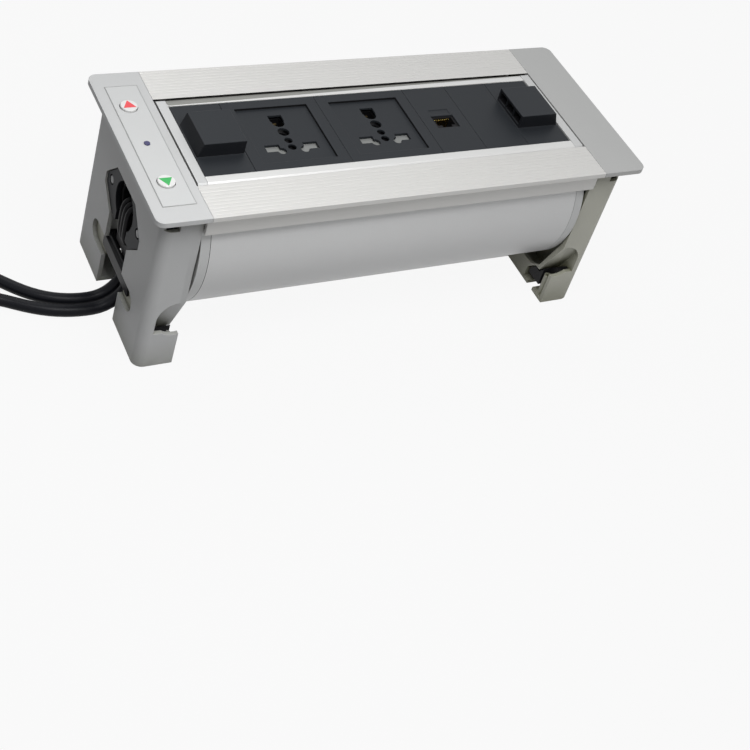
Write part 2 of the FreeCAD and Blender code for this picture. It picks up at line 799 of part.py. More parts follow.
def make_drum_shells():
    """The two curved skins, the flat lid and the bright bars beside the modules."""
    ends = (f"-{DRUM_SEAM}", f"{DRUM_SEAM}")
    through = (f"-{DRUM_SEAM} - 1", f"{DRUM_SEAM} + 1")
    for face, name in ((-1, "drum_shell_front"), (1, "drum_shell_back")):
        half = ("0", "drum_radius + 1") if face > 0 else ("-drum_radius - 1", "0")
        inside = rod("x", "drum_radius - drum_skin", through, "0", AXIS)
        skin = cut(rod("x", "drum_radius", ends, "0", AXIS), [inside])
        zone = box(ends, half, (f"{LID_LOW} + flat_thick", BAR_LOW))
        skin = common([skin, zone])
        channels = [rod("x", 3.4, ends, y, z) for y, z in boss_centres(face)]
        bores = [rod("x", 1.5, through, y, z) for y, z in boss_centres(face)]
        finish(cut(fuse([skin] + channels), bores), name)
    lid = box(ends, ("-drum_radius", "drum_radius"), (LID_LOW, f"{LID_LOW} + flat_thick - 0.02"))
    finish(common([lid, rod("x", "drum_radius", through, "0", AXIS)]), "drum_lid")
    for face, name in ((-1, "bezel_bar_front"), (1, "bezel_bar_back")):
        deep = ("ledge_inner", "drum_radius") if face > 0 else ("-drum_radius", "-ledge_inner")
        seat = ("ledge_inner - 1", "bezel_inner") if face > 0 else ("-bezel_inner", "-ledge_inner + 1")
        blank = box(ends, deep, (f"{BAR_LOW} + 0.02", TOP))
        bar = common([blank, rod("x", "drum_radius", through, "0", AXIS)])
        rebate = box(through, seat, (f"{TOP} - ledge_drop", f"{TOP} + 1"))
        finish(cut(bar, [rebate]), name)


def make_drum_cap(side, hand):
    """A drum end with its rim, hollow journal and four recessed screws."""
    disc = drum_disc(span(side, f"{DRUM_END} - 2.5", f"{DRUM_END}"))
    rim_reach = span(side, f"{DRUM_SEAM} + 0.1", f"{DRUM_END} - 2")
    hollow_reach = span(side, f"{DRUM_SEAM} - 1", f"{DRUM_END} - 2.5")
    rim_hollow = common(
        [
            rod("x", "drum_radius - 3", hollow_reach, "0", AXIS),
            box(hollow_reach, ("-drum_radius", "drum_radius"), around(AXIS, "axis_depth - 3")),
        ]
    )
    rim = cut(drum_disc(rim_reach), [rim_hollow])
    journal = rod("x", "journal_radius", span(side, f"{DRUM_END} - 1", "plate_outer + 1"), "0", AXIS)
    cuts = [rod("x", "journal_bore", span(side, f"{DRUM_SEAM}", "shell_x"), "0", AXIS)]
    screws = []
    for face in (-1, 1):
        for y, z in boss_centres(face):
            cuts.append(rod("x", 1.6, span(side, f"{DRUM_END} - 4", f"{DRUM_END} + 1"), y, z))
            cuts.append(rod("x", 3.0, span(side, f"{DRUM_END} - 1.5", f"{DRUM_END} + 1"), y, z))
            head = rod("x", 2.9, span(side, f"{DRUM_END} - 1.5", f"{DRUM_END} - 0.1"), y, z)
            shank = rod("x", 1.45, span(side, f"{DRUM_SEAM} - 10", f"{DRUM_END} - 1"), y, z)
            recess = rod("x", 1.3, span(side, f"{DRUM_END} - 0.9", f"{DRUM_END}"), y, z)
            screws.append(cut(fuse([head, shank]), [recess]))
    finish(cut(fuse([disc, rim, journal]), cuts), f"drum_cap_{hand}")
    return screws


def face_plate(centre, units):
    """The flat front of a module that is so many units wide."""
    half = f"module_unit * {units} / 2 - module_gap"
    return box(around(centre, half), around("0", "bezel_inner - module_gap"), (FACE_LOW, FACE_TOP))


def make_data_block(side, hand):
    """A raised block whose ports face the middle, and the metal liners of its ports."""
    centre = f"{side} * module_unit * 3.5"
    plate = face_plate(centre, 1)
    raised = prism(
        "y",
        [
            (f"{side} * (module_unit * 3 + 1)", f"{FACE_TOP} - 1"),
            (f"{side} * (module_unit * 3 + 1)", f"{TOP} + block_rise"),
            (f"{side} * (module_unit * 4 - 3.6)", f"{TOP} + block_rise"),
            (f"{side} * (module_unit * 4 - 0.4)", f"{FACE_TOP} - 1"),
        ],
        ("-block_half", "block_half"),
    )
    ports = []
    liners = []
    for step in (-1, 0, 1):
        y = f"{step} * block_half * 0.62"
        z = f"{TOP} + block_rise / 2 - 0.2"
        reach = span(side, "module_unit * 3 - 1", "module_unit * 3 + 11")
        ports.append(box(reach, around(y, "3.7"), around(z, "2.6")))
        deep = span(side, "module_unit * 3 + 1.3", "module_unit * 3 + 11")
        shell = box(deep, around(y, "3.68"), around(z, "2.58"))
        inner = box(span(side, "module_unit * 3", "module_unit * 3 + 10"), around(y, "3.3"), around(z, "2.2"))
        liners.append(cut(shell, [inner]))
    finish(cut(fuse([plate, raised]), ports), f"data_block_{hand}")
    finish(group(liners), f"data_ports_{hand}")


# Pin openings of the universal outlet, from its own middle: box half widths or a radius.
OUTLET_BOXES = (((0, 14.2), (4.1, 2.7)), ((-11.2, -10), (4.2, 2.75)), ((11.2, -10), (4.2, 2.75)))
OUTLET_ROUNDS = (
    ((0, 10.6), 3.6),
    ((0, 2.6), 3.3),
    ((0, -4.6), 2.3),
    ((0, -10.2), 2.4),
    ((-6.8, -12.6), 2.5),
    ((6.8, -12.6), 2.5),
)


def outlet_tools(centre, reach):
    """The cutting solids of one outlet's pin openings."""
    tools = []
    for (x, y), (half_x, half_y) in OUTLET_BOXES:
        tools.append(box(around(f"{centre} + {x}", half_x), around(y, half_y), reach))
    for (x, y), radius in OUTLET_ROUNDS:
        tools.append(rod("z", radius, reach, f"{centre} + {x}", y))
    return tools


def make_outlet(index, centre):
    """One universal outlet: its inset face, sliding shutter, base and brass contacts."""
    plate = face_plate(centre, 2)
    skirt_reach = (f"{FACE_LOW} - 8", f"{FACE_LOW} + 0.5")
    skirt = box(around(centre, "module_unit - 2.8"), around("0", "ledge_inner - 0.5"), skirt_reach)
    room = box(
        around(centre, "module_unit - 4.2"), around("0", "ledge_inner - 1.5"), (f"{FACE_LOW} - 9", FACE_LOW)
    )
    inset_z = (f"{FACE_TOP} - inset_depth", f"{FACE_TOP} + 1")
    inset = box(around(centre, "inset_x"), around("0", "inset_y"), inset_z)
    tools = outlet_tools(centre, (f"{FACE_LOW} - 1", f"{FACE_TOP} + 1"))
    finish(cut(fuse([plate, cut(skirt, [room])]), [inset] + tools), f"outlet_face_{index}")

    shutter_top = f"({FACE_LOW} - shutter_gap)"
    reach = (f"{shutter_top} - shutter_thick", shutter_top)
    blades = []
    for hand in (-1, 1):
        blades.append(box(around(f"{centre} + {hand} * blade_x", "blade_half"), ("-16.6", "-6.3"), reach))
    bridge = box(around(centre, "6"), ("-16.6", "-13.3"), reach)
    finish(fuse(blades + [bridge]), f"outlet_shutter_{index}")

    base_top = f"({shutter_top} - shutter_thick - shutter_gap)"
    base_z = (f"{base_top} - 18", base_top)
    base = box(around(centre, "module_unit - 4.3"), around("0", "ledge_inner - 1.6"), base_z)
    wells = []
    contacts = []
    for (x, y), _ in OUTLET_BOXES:
        well = (f"{base_top} - 15", f"{base_top} + 1")
        wells.append(box(around(f"{centre} + {x}", "4.6"), around(y, "3.6"), well))
        for face in (-1, 1):
            upright = (f"{base_top} - 15", f"{base_top} - 3")
            leaf = box(around(f"{centre} + {x}", "3.2"), around(f"{y} + {face} * 3.2", "0.4"), upright)
            contacts.append(leaf)
    for (x, y), radius in OUTLET_ROUNDS[1:]:
        wells.append(rod("z", radius, (f"{base_top} - 12", f"{base_top} + 1"), f"{centre} + {x}", y))
    finish(cut(base, wells), f"outlet_base_{index}")
    finish(group(contacts), f"outlet_contacts_{index}")


JACK_Y = -2


def make_network_module():
    """The network module: its face, the jack behind it and the gilt contacts in the jack."""
    centre = "module_unit * 1.5"
    plate = face_plate(centre, 1)
    neck = box(around(centre, "8.8"), around(JACK_Y, "6.8"), (f"{FACE_LOW} - 8", f"{FACE_LOW} + 0.5"))
    hole = box(around(centre, "7.3"), around(JACK_Y, "5.3"), (f"{FACE_LOW} - 9", f"{FACE_TOP} + 1"))
    legend = box(around(centre, "6.3"), around("6.6", "2.1"), (f"{FACE_TOP} - 0.4", f"{FACE_TOP} + 1"))
    finish(cut(fuse([plate, neck]), [hole, legend]), "network_face")

    jack_top = f"({FACE_TOP} - 0.8)"
    body = box(around(centre, "7.2"), around(JACK_Y, "5.2"), (f"{jack_top} - 18", jack_top))
    deep = (f"{jack_top} - 13", f"{jack_top} + 1")
    cavity = box(around(centre, "5.9"), (f"{JACK_Y} - 2.4", f"{JACK_Y} + 4.2"), deep)
    latch = box(around(centre, "3.1"), (f"{JACK_Y} - 4.2", f"{JACK_Y} - 2"), deep)
    finish(cut(body, [cavity, latch]), "network_jack")
    wires = []
    for index in range(8):
        x = f"{centre} + {(index - 3.5) * 1.27:.3f}"
        upright = (f"{jack_top} - 12.5", f"{jack_top} - 1")
        wires.append(box(around(x, "0.25"), (f"{JACK_Y} + 3.5", f"{JACK_Y} + 4.2"), upright))
    finish(group(wires), "jack_contacts")
    finish(face_plate("module_unit * 2.5", 1), "blank_face")


# Free runs of the two cords below the gland, as hand-chosen corner points.
CORD_X = 131.0
POWER_Y = 2.0
DATA_Y = -6.5
POWER_ROUTE = (
    (-131, 2, 18),
    (-143, 0, 3.5),
    (-162, -0.5, 3.5),
    (-180.5, 6.5, 3.5),
    (-198, 23.5, 3.5),
    (-226, 53.5, 3.5),
    (-260, 62.5, 3.5),
    (-300, 63.5, 3.5),
    (-345, 60.5, 3.5),
    (-390, 56, 3.5),
)
DATA_ROUTE = (
    (-131, -6.5, 18),
    (-143, -9.5, 3.5),
    (-162, -12.8, 3.5),
    (-180.5, -8, 3.5),
    (-203, 8, 3.5),
    (-242, 18.8, 11.2),
    (-284, 18, 11.2),
)
COIL_RADIUS = 46.5
COIL_PITCH = 7.7
COIL_HALF_TURNS = 6
TAIL_RADIUS = 30


def lead_edges(points):
    """Straight runs joined by tangent arcs, and the radius of each arc."""
    corners = [Vector(point) for point in points]
    edges = []
    radii = []
    start = corners[0]
    for before, corner, after in zip(corners, corners[1:], corners[2:]):
        back = (before - corner).normalize()
        ahead = (after - corner).normalize()
        turn = math.pi - back.getAngle(ahead)
        run = min((before - corner).Length, (after - corner).Length)
        trim = 0.45 * run
        radius = trim / math.tan(turn / 2)
        radii.append(radius)
        first = corner + back * trim
        last = corner + ahead * trim
        inward = (back + ahead).normalize()
        middle = corner + inward * (math.hypot(radius, trim) - radius)
        edges.append(Part.LineSegment(start, first).toShape())
        edges.append(Part.Arc(first, middle, last).toShape())
        start = last
    edges.append(Part.LineSegment(start, corners[-1]).toShape())
    return edges, radii


def tangent_arc(start, along, end):
    """The arc that leaves start along a direction and reaches end."""
    chord = end - start
    unit = Vector(chord).normalize()
    side = along - unit * along.dot(unit)
    angle = along.getAngle(unit)
    middle = (start + end) * 0.5 + side.normalize() * (chord.Length / 2 * math.tan(angle / 2))
    return Part.Arc(start, middle, end).toShape()


def biarc(start, along, end, leaving):
    """Two tangent arcs between two points with given directions."""
    gap = end - start
    both = along + leaving
    spread = 2 * (1 - along.dot(leaving))
    reach = (-gap.dot(both) + math.sqrt(gap.dot(both) ** 2 + spread * gap.dot(gap))) / spread
    knot = (start + end + (along - leaving) * reach) * 0.5
    first = tangent_arc(start, along, knot)
    second = tangent_arc(knot, (knot - start - along * reach).normalize(), end)
    return [first, second]


def coil_edges(entry, heading, rise, over):
    """A neat coil: in over one layer, out over the next, and a tail that may turn back over the coil."""
    upright = Vector(0, 0, 1)
    across = upright.cross(heading)
    straight = size("cord_diameter")
    edges = [Part.LineSegment(entry, entry + heading * straight).toShape()]
    here = entry + heading * straight
    along = Vector(heading)
    inward = Vector(across)
    radii = [COIL_RADIUS - COIL_PITCH / 2 * index for index in range(COIL_HALF_TURNS)]
    inner = radii[-1] - COIL_PITCH / 2
    plan = [(radius, 0) for radius in radii] + [(inner, rise)] + [(radius, 0) for radius in reversed(radii)]
    for radius, lift in plan:
        centre = here + inward * radius
        quarter = centre + along * radius + upright * (lift / 2)
        far = centre + inward * radius + upright * lift
        slope = (inward + upright * (lift / (radius * math.pi) * 1.6)).normalize()
        if lift:
            edges += biarc(here, along, quarter, slope)
            edges += biarc(quarter, slope, far, along * -1)
        else:
            edges.append(Part.Arc(here, quarter, far).toShape())
        here = far
        along = along * -1
        inward = inward * -1
    edges.append(Part.LineSegment(here, here + along * (2 * straight)).toShape())
    here = here + along * (2 * straight)
    if over:
        centre = here + inward * TAIL_RADIUS + upright * over
        quarter = centre + along * TAIL_RADIUS
        middle = centre + (along + inward).normalize() * TAIL_RADIUS
        far = centre + inward * TAIL_RADIUS
        edges += biarc(here, along, quarter, inward)
        edges.append(Part.Arc(quarter, middle, far).toShape())
        along = along * -1
        here = far + along * straight
        edges.append(Part.LineSegment(far, here).toShape())
    return edges, here, along


def tube(edges, radius, sides):
    """A many-sided cord along a chain of edges, and how far its volume is from section times length."""
    wire = Part.Wire(edges)
    start = wire.Edges[0].firstVertex().Point
    along = wire.Edges[0].tangentAt(wire.Edges[0].FirstParameter)
    rim = Part.makeCircle(radius, start, along)
    corners = rim.discretize(Number=sides + 1)
    section = Part.makePolygon(corners[:-1] + corners[:1])
    shape = wire.makePipeShell([section], True, False)
    expected = sides / 2 * math.sin(2 * math.pi / sides) * radius * radius * wire.Length
    return shape, wire, shape.Volume / expected


def least_gap(wire, radius):
    """The smallest gap between stretches of one tube that are a third of a turn or more apart."""
    step = 4.0
    count = int(wire.Length / step)
    points = wire.discretize(Number=count)
    apart = int(COIL_RADIUS * 2.0 / step)
    least = 1e9
    for index, first in enumerate(points):
        for second in points[index + apart :]:
            least = min(least, first.distanceToPoint(second))
    return least - 2 * radius


def make_cords():
    """The two cords, each a free stretch, the coil that puts its length away and its plug."""
    radius = size("cord_diameter") / 2
    rise = size("cord_diameter") + 0.7
    start = value_of(CORD_END)
    plans = (
        ("power", POWER_ROUTE, rise, 15, power_plug),
        ("data", DATA_ROUTE, -rise, 0, data_plug),
    )
    for name, route, climb, over, plug in plans:
        points = [(route[0][0], route[0][1], start), *route]
        edges, radii = lead_edges(points)
        lead, lead_wire, share = tube(edges, radius, 12)
        print(name, "lead length", round(lead_wire.Length, 1), "volume share", round(share, 4))
        print(name, "arc radii", [round(value, 1) for value in radii])
        finish(solid_from(lead), f"{name}_lead")
        entry = Vector(*points[-1])
        heading = (entry - Vector(*points[-2])).normalize()
        edges, end, leaving = coil_edges(entry, heading, climb, over)
        coil, coil_wire, share = tube(edges, radius, 8)
        print(name, "coil length", round(coil_wire.Length, 1), "volume share", round(share, 4))
        print(name, "least gap of the coil to itself", round(least_gap(coil_wire, radius), 2))
        finish(solid_from(coil), f"{name}_coil")
        plug(end, leaving)


def laid(shape, end, leaving):
    """Turn and move a plug drawn along +X to where its cord ends."""
    shape.rotate(Vector(), Vector(0, 0, 1), math.degrees(math.atan2(leaving.y, leaving.x)))
    shape.translate(end)
    return shape


def power_plug(end, leaving):
    """A three-pin plug on its back, its cord entering at one edge."""
    low = -size("plug_height") / 2
    back = size("plug_back")
    length = size("plug_length")
    width = size("plug_width")
    body = Part.makeBox(length, width, size("plug_height"), Vector(back, -width / 2, low))
    upright = [edge for edge in body.Edges if abs(edge.tangentAt(edge.FirstParameter).z) > 0.9]
    body = body.makeFillet(9, upright)
    neck = Part.makeCylinder(6, back + 1, Vector(), Vector(1, 0, 0))
    whole = body.fuse(neck)
    root = low + size("plug_height") - 0.5
    pin = size("pin_length")
    pins = [Part.makeBox(4, 8, pin, Vector(size("pin_back"), y, root)) for y in (7.1, -15.1)]
    pins.append(Part.makeBox(8, 4, size("earth_length"), Vector(size("earth_back"), -2, root)))
    finish(solid_from(laid(whole.removeSplitter(), end, leaving)), "power_plug")
    free = Part.makeCompound([pin.cut(body) for pin in pins])
    finish(solid_from(laid(free, end, leaving)), "power_plug_pins")


def data_plug(end, leaving):
    """A network plug with its rubber boot, lying latch up."""
    floor = -size("cord_diameter") / 2
    length = size("boot_length")
    width = size("small_plug_width")
    height = size("small_plug_height")
    above_floor = Part.makeBox(length + 2, 2 * width, 2 * width, Vector(-1, -width, floor))
    boot = Part.makeCone(3.8, 4.9, length, Vector(), Vector(1, 0, 0)).common(above_floor)
    start = length - 0.5
    end_x = start + size("small_plug_length")
    body = Part.makeBox(end_x - start, width, height, Vector(start, -width / 2, floor))
    top = floor + height
    latch = Part.makeBox(13, 6, 1.2, Vector(end_x - 16.5, -3, top + 0.7))
    root = Part.makeBox(2, 6, 1.8, Vector(end_x - 4, -3, top - 0.3))
    whole = boot.fuse([body, latch, root]).removeSplitter()
    finish(solid_from(laid(whole, end, leaving)), "data_plug")


def export_all():
    """Check every object and write each finished sub-part to its own file."""
    os.makedirs(PARTS, exist_ok=True)
    doc.recompute()
    for item in doc.Objects:
        if "Invalid" in item.State or "Error" in item.State:
            raise ValueError(f"{item.Name} {item.Label} failed: {item.State}")
    for piece in nodes:
        shape = piece.Shape
        if shape.isNull() or not shape.isValid() or not shape.Solids:
            raise ValueError(f"{piece.Label} has no valid solid")
        shape.exportStep(os.path.join(PARTS, f"{piece.Label}.step"))
        print(piece.Label, len(shape.Solids), round(shape.Volume, 1))


def main():
    """Build the whole object."""
    fill_sheet()
    plate_screws = []
    bush_screws = []
    for side, hand in ((-1, "left"), (1, "right")):
        make_housing(side, f"end_housing_{hand}")
        for_plate, for_bush = make_bearing(side, hand)
        plate_screws += for_plate
        bush_screws += for_bush
    finish(group(plate_screws), "bearing_screws")
    finish(group(bush_screws), "bush_screws")
    for face, name in ((-1, "rail_front"), (1, "rail_back")):
        make_rail(face, name)
    make_rail_screws()
    make_tie_bar()
    make_claw_nuts()
    make_controls()
    make_drive()
    make_drum_shells()
    cap_screws = make_drum_cap(-1, "left") + make_drum_cap(1, "right")
    finish(group(cap_screws), "cap_screws")
    for side, hand in ((-1, "left"), (1, "right")):
        make_data_block(side, hand)
    make_outlet(1, "-2 * module_unit")
    make_outlet(2, "0 * module_unit")
    make_network_module()
    make_cords()
    export_all()


main()
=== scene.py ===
"""Dress of a motorised turn-over desk socket: finishes, softened edges, signs, cords, light and camera.

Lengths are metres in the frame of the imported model: +X along the panel away from the controls, +Y from
the user to the back, +Z up, with the feet of the two end housings on z = 0. The cords' routes and coils, and
values whose names end in mm, are millimetres.
"""

import logging
import math
from collections.abc import Iterable
from dataclasses import dataclass, replace
from enum import Enum

import bmesh
import bpy
from mathutils import Matrix, Vector


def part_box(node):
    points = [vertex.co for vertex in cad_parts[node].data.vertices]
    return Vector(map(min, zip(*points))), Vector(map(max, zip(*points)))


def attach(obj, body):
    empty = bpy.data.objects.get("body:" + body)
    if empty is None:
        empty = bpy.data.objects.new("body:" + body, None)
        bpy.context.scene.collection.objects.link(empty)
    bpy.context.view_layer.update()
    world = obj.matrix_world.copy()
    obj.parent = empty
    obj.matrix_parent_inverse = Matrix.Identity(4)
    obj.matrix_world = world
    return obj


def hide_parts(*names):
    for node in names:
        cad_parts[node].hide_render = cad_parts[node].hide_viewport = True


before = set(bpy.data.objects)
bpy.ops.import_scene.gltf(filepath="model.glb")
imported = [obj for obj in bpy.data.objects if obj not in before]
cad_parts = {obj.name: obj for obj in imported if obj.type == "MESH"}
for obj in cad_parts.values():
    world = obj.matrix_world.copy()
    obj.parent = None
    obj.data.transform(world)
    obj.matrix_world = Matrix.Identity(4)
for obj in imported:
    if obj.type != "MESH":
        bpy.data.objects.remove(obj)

Shape = bmesh.types.BMesh
Piece = bpy.types.Object
Socket = bpy.types.NodeSocket
Colour = tuple[float, float, float]
Point = tuple[float, float, float]
Pair = tuple[float, float]

LOG = logging.getLogger("desk_socket")
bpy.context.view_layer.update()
MM = 0.001
TOP_Z = 112 * MM
FACE_TOP = 111.5 * MM
AXIS_Z = 69.7 * MM
BUTTON_X = -135.8 * MM
BUTTON_Y = 30.5 * MM
BUTTON_TOP = TOP_Z + 1.4 * MM
FAR = math.inf
ANY: Pair = (-FAR, FAR)

MERGE_WITHIN = 2e-6
FLAT_WITHIN = math.radians(0.4)
BEVEL_ABOVE = math.radians(32)
SHARP_ABOVE = math.radians(38)
FLATS_WEIGHT = 90

FINE_SHARE = 0.6
BROAD_SHARE = 0.4
BROAD_SCALE = 0.035
WEAR_GAIN = 5.0
FILM_SCALE = 60.0
FILM_LEAST = 0.35
WORN_GAIN = 1.25
WORN_LIFT = 0.05
DUSTY_GAIN = 0.82
DUSTY_LIFT = 0.03
ROUGH_SPREAD = 0.12
BUMP_STRENGTH = 0.6
COAT_ROUGHNESS = 0.15

MIX_INPUTS = (0, 6, 7)
MIX_RESULT = 2


class Line(Enum):
    """Which way the drawn lines of a finish run, as the stretch of its grain."""

    NONE = (1.0, 1.0, 1.0)
    ALONG_X = (0.012, 1.0, 1.0)


def new_group(name: str, inputs: dict[str, float | None], outputs: dict[str, str]) -> bpy.types.NodeTree:
    """Make an empty shader node group with named sockets.

    Args:
        name: the group's name.
        inputs: each input's default number, or None where it takes a vector.
        outputs: each output's kind, Float or Vector.

    Returns:
        The group, with its input and output nodes placed.
    """
    tree = bpy.data.node_groups.new(name, "ShaderNodeTree")
    for label, default in inputs.items():
        kind = "NodeSocketVector" if default is None else "NodeSocketFloat"
        socket = tree.interface.new_socket(name=label, in_out="INPUT", socket_type=kind)
        if default is not None:
            socket.default_value = default
    for label, kind in outputs.items():
        tree.interface.new_socket(name=label, in_out="OUTPUT", socket_type="NodeSocket" + kind)
    tree.nodes.new("NodeGroupInput").name = "In"
    tree.nodes.new("NodeGroupOutput").name = "Out"
    return tree


class Graph:
    """Short names for placing and joining nodes of one tree."""

    def __init__(self, tree: bpy.types.NodeTree) -> None:
        """Keep the tree that nodes are added to."""
        self.tree = tree

    def add(self, kind: str, **settings: object) -> bpy.types.Node:
        """Place a node.

        Args:
            kind: the node type without its ShaderNode prefix.
            settings: attributes of the node, or what goes into its inputs, by name.

        Returns:
            The new node.
        """
        node = self.tree.nodes.new("ShaderNode" + kind)
        for key, value in settings.items():
            if hasattr(node, key):
                setattr(node, key, value)
            else:
                self.join(value, node.inputs[key])
        return node

    def join(self, source: object, target: Socket) -> None:
        """Link an output to an input, or set the input to a number, a vector or a colour."""
        if isinstance(source, Socket):
            self.tree.links.new(source, target)
        else:
            target.default_value = source

    def math(self, operation: str, *values: object) -> Socket:
        """Work out a sum of sockets and numbers, and give the result's socket."""
        node = self.add("Math", operation=operation)
        for value, target in zip(values, node.inputs):
            self.join(value, target)
        return node.outputs[0]

    def blend(self, amount: object, first: object, second: object) -> Socket:
        """Mix two colours by the second's share, each a socket or a value, and give the result's socket."""
        node = self.add("Mix", data_type="RGBA")
        for value, index in zip((amount, first, second), MIX_INPUTS):
            self.join(value, node.inputs[index])
        return node.outputs[MIX_RESULT]


def grain_group() -> bpy.types.NodeTree:
    """Make the shared grain, a tone and a height: a speckle, or drawn lines where its vector is stretched."""
    tree = new_group("surface_grain", {"Vector": None, "Scale": 900.0}, {"Tone": "Float", "Height": "Float"})
    graph = Graph(tree)
    given = tree.nodes["In"].outputs
    fine = graph.add("TexNoise", Vector=given["Vector"], Scale=given["Scale"], Detail=3.0, Roughness=0.6)
    spread = graph.math("MULTIPLY", given["Scale"], BROAD_SCALE)
    broad = graph.add("TexNoise", Vector=given["Vector"], Scale=spread, Detail=2.0, Roughness=0.5)
    fine_tone = graph.math("MULTIPLY", fine.outputs["Fac"], FINE_SHARE)
    broad_tone = graph.math("MULTIPLY", broad.outputs["Fac"], BROAD_SHARE)
    graph.join(graph.math("ADD", fine_tone, broad_tone), tree.nodes["Out"].inputs["Tone"])
    graph.join(fine.outputs["Fac"], tree.nodes["Out"].inputs["Height"])
    return tree


def wear_group() -> bpy.types.NodeTree:
    """Make the shared edge wear: a mask along outer edges and a normal that rounds them by a radius."""
    tree = new_group("edge_wear", {"Radius": 0.0004}, {"Mask": "Float", "Normal": "Vector"})
    graph = Graph(tree)
    bevel = graph.add("Bevel", samples=6, Radius=tree.nodes["In"].outputs["Radius"])
    shape = graph.add("NewGeometry")
    dot = graph.add("VectorMath", operation="DOT_PRODUCT")
    graph.join(bevel.outputs["Normal"], dot.inputs[0])
    graph.join(shape.outputs["Normal"], dot.inputs[1])
    turned = graph.math("SUBTRACT", 1.0, dot.outputs["Value"])
    mask = graph.math("MINIMUM", graph.math("MULTIPLY", turned, WEAR_GAIN), 1.0)
    graph.join(mask, tree.nodes["Out"].inputs["Mask"])
    graph.join(bevel.outputs["Normal"], tree.nodes["Out"].inputs["Normal"])
    return tree


def dust_group() -> bpy.types.NodeTree:
    """Make the shared dust and painted shade: a mask of an uneven film in corners, as far as a reach, which
    over a long reach paints the shade of hollows.
    """
    tree = new_group("corner_dust", {"Vector": None, "Reach": 0.004}, {"Mask": "Float"})
    graph = Graph(tree)
    given = tree.nodes["In"].outputs
    closed = graph.add("AmbientOcclusion", samples=6, Distance=given["Reach"])
    film = graph.add("TexNoise", Vector=given["Vector"], Scale=FILM_SCALE, Detail=4.0, Roughness=0.6)
    corner = graph.math("SUBTRACT", 1.0, closed.outputs["AO"])
    mask = graph.math("MULTIPLY", corner, graph.math("ADD", film.outputs["Fac"], FILM_LEAST))
    graph.join(mask, tree.nodes["Out"].inputs["Mask"])
    return tree


GRAIN = grain_group()
WEAR = wear_group()
DUST_AND_SHADE = dust_group()


@dataclass(frozen=True)
class Finish:
    """One finish: its colours, how it shines, its grain or drawn lines, how its edges age, and the dust and
    painted shade in its corners.
    """

    name: str
    colour: Colour
    metallic: float = 0.0
    roughness: float = 0.5
    specular: float = 0.5
    coat: float = 0.0
    tone: float = 0.06
    grain: float = 900.0
    depth: float = 2e-5
    lines: Line = Line.NONE
    edge: float = 0.25
    edge_radius: float = 0.0004
    # How much dust gathers in corners, and where the reach is long, how much shade is painted into hollows.
    dust: float = 0.2
    reach: float = 0.004
    # The colour of the shade painted into hollows, in place of the dusty tint.
    hollow: Colour | None = None

    def like(self, name: str, colour: Colour, **changes: object) -> "Finish":
        """Give a finish that differs from this one in its name, its colour and the changes."""
        return replace(self, name=name, colour=colour, **changes)

    def tint(self, gain: float, lift: float = 0.0) -> tuple[float, ...]:
        """Scale and lift the colour, within what a surface can have."""
        return (*(min(1.0, max(0.0, c * gain + lift)) for c in self.colour), 1.0)

    def material(self) -> bpy.types.Material:
        """Build this finish's material, or find it if it is built already.

        Returns:
            The material.
        """
        found = bpy.data.materials.get("finish_" + self.name)
        if found:
            return found
        material = bpy.data.materials.new("finish_" + self.name)
        material.use_nodes = True
        graph = Graph(material.node_tree)
        place = graph.add("TexCoord").outputs["Object"]
        stretched = graph.add("Mapping", Vector=place, Scale=self.lines.value).outputs["Vector"]
        grain = graph.add("Group", node_tree=GRAIN, Vector=stretched, Scale=self.grain).outputs
        wear = graph.add("Group", node_tree=WEAR, Radius=self.edge_radius).outputs
        dust = graph.add("Group", node_tree=DUST_AND_SHADE, Vector=place, Reach=self.reach).outputs
        worn = self.tint(WORN_GAIN, WORN_LIFT)
        dusty = (*self.hollow, 1.0) if self.hollow else self.tint(DUSTY_GAIN, DUSTY_LIFT)
        base = graph.blend(grain["Tone"], self.tint(1 - 2 * self.tone), self.tint(1 + 2 * self.tone))
        base = graph.blend(graph.math("MULTIPLY", wear["Mask"], self.edge), base, worn)
        # Dust in corners, and where the reach is long, painted shade in hollows.
        base = graph.blend(graph.math("MULTIPLY", dust["Mask"], self.dust), base, dusty)
        least = self.roughness - ROUGH_SPREAD / 2
        bump = graph.add(
            "Bump", Strength=BUMP_STRENGTH, Distance=self.depth, Height=grain["Height"], Normal=wear["Normal"]
        )
        values = {
            "Base Color": base,
            "Roughness": graph.math("MULTIPLY_ADD", grain["Tone"], ROUGH_SPREAD, least),
            "Normal": bump.outputs["Normal"],
            "Metallic": self.metallic,
            "Coat Weight": self.coat,
            "Coat Roughness": COAT_ROUGHNESS,
            "Specular IOR Level": self.specular,
        }
        shader = graph.tree.nodes["Principled BSDF"]
        for label, value in values.items():
            graph.join(value, shader.inputs[label])
        return material


# The olive colour of the shade painted into the end housings' hollows.
OLIVE_SHADE = (0.13, 0.13, 0.075)

CAP = Finish(
    "drum_end", (0.49, 0.495, 0.493), metallic=0.2, roughness=0.42, tone=0.02, grain=1300.0, depth=6e-6,
    edge=0.3,
)
# The right housing's flange, darker than the left housing's: painted shade.
FLANGE_SHADED = CAP.like("flange_shaded", (0.39, 0.393, 0.388))
DRUM = CAP.like("drum_skin", (0.58, 0.583, 0.583), tone=0.03, depth=1e-5)
LID = CAP.like("drum_lid", (0.55, 0.555, 0.555), metallic=0.3, roughness=0.36, grain=1500.0, depth=1e-5)
# The end housings: their corner mask reaches far and takes the olive colour, painting shade inside them and
# under their flanges.
END = CAP.like(
    "end_grey", (0.50, 0.505, 0.505), metallic=0.0, roughness=0.5, specular=0.2, grain=1400.0, dust=0.9,
    reach=0.02, hollow=OLIVE_SHADE,
)
# The right housing and the webs behind the left slot: the end grey tinted warm as a painted warm light, with
# a corner mask that reaches further for more painted shade.
END_WARM_LIT = END.like("end_warm_lit", (0.52, 0.518, 0.455), dust=1.2, reach=0.025)

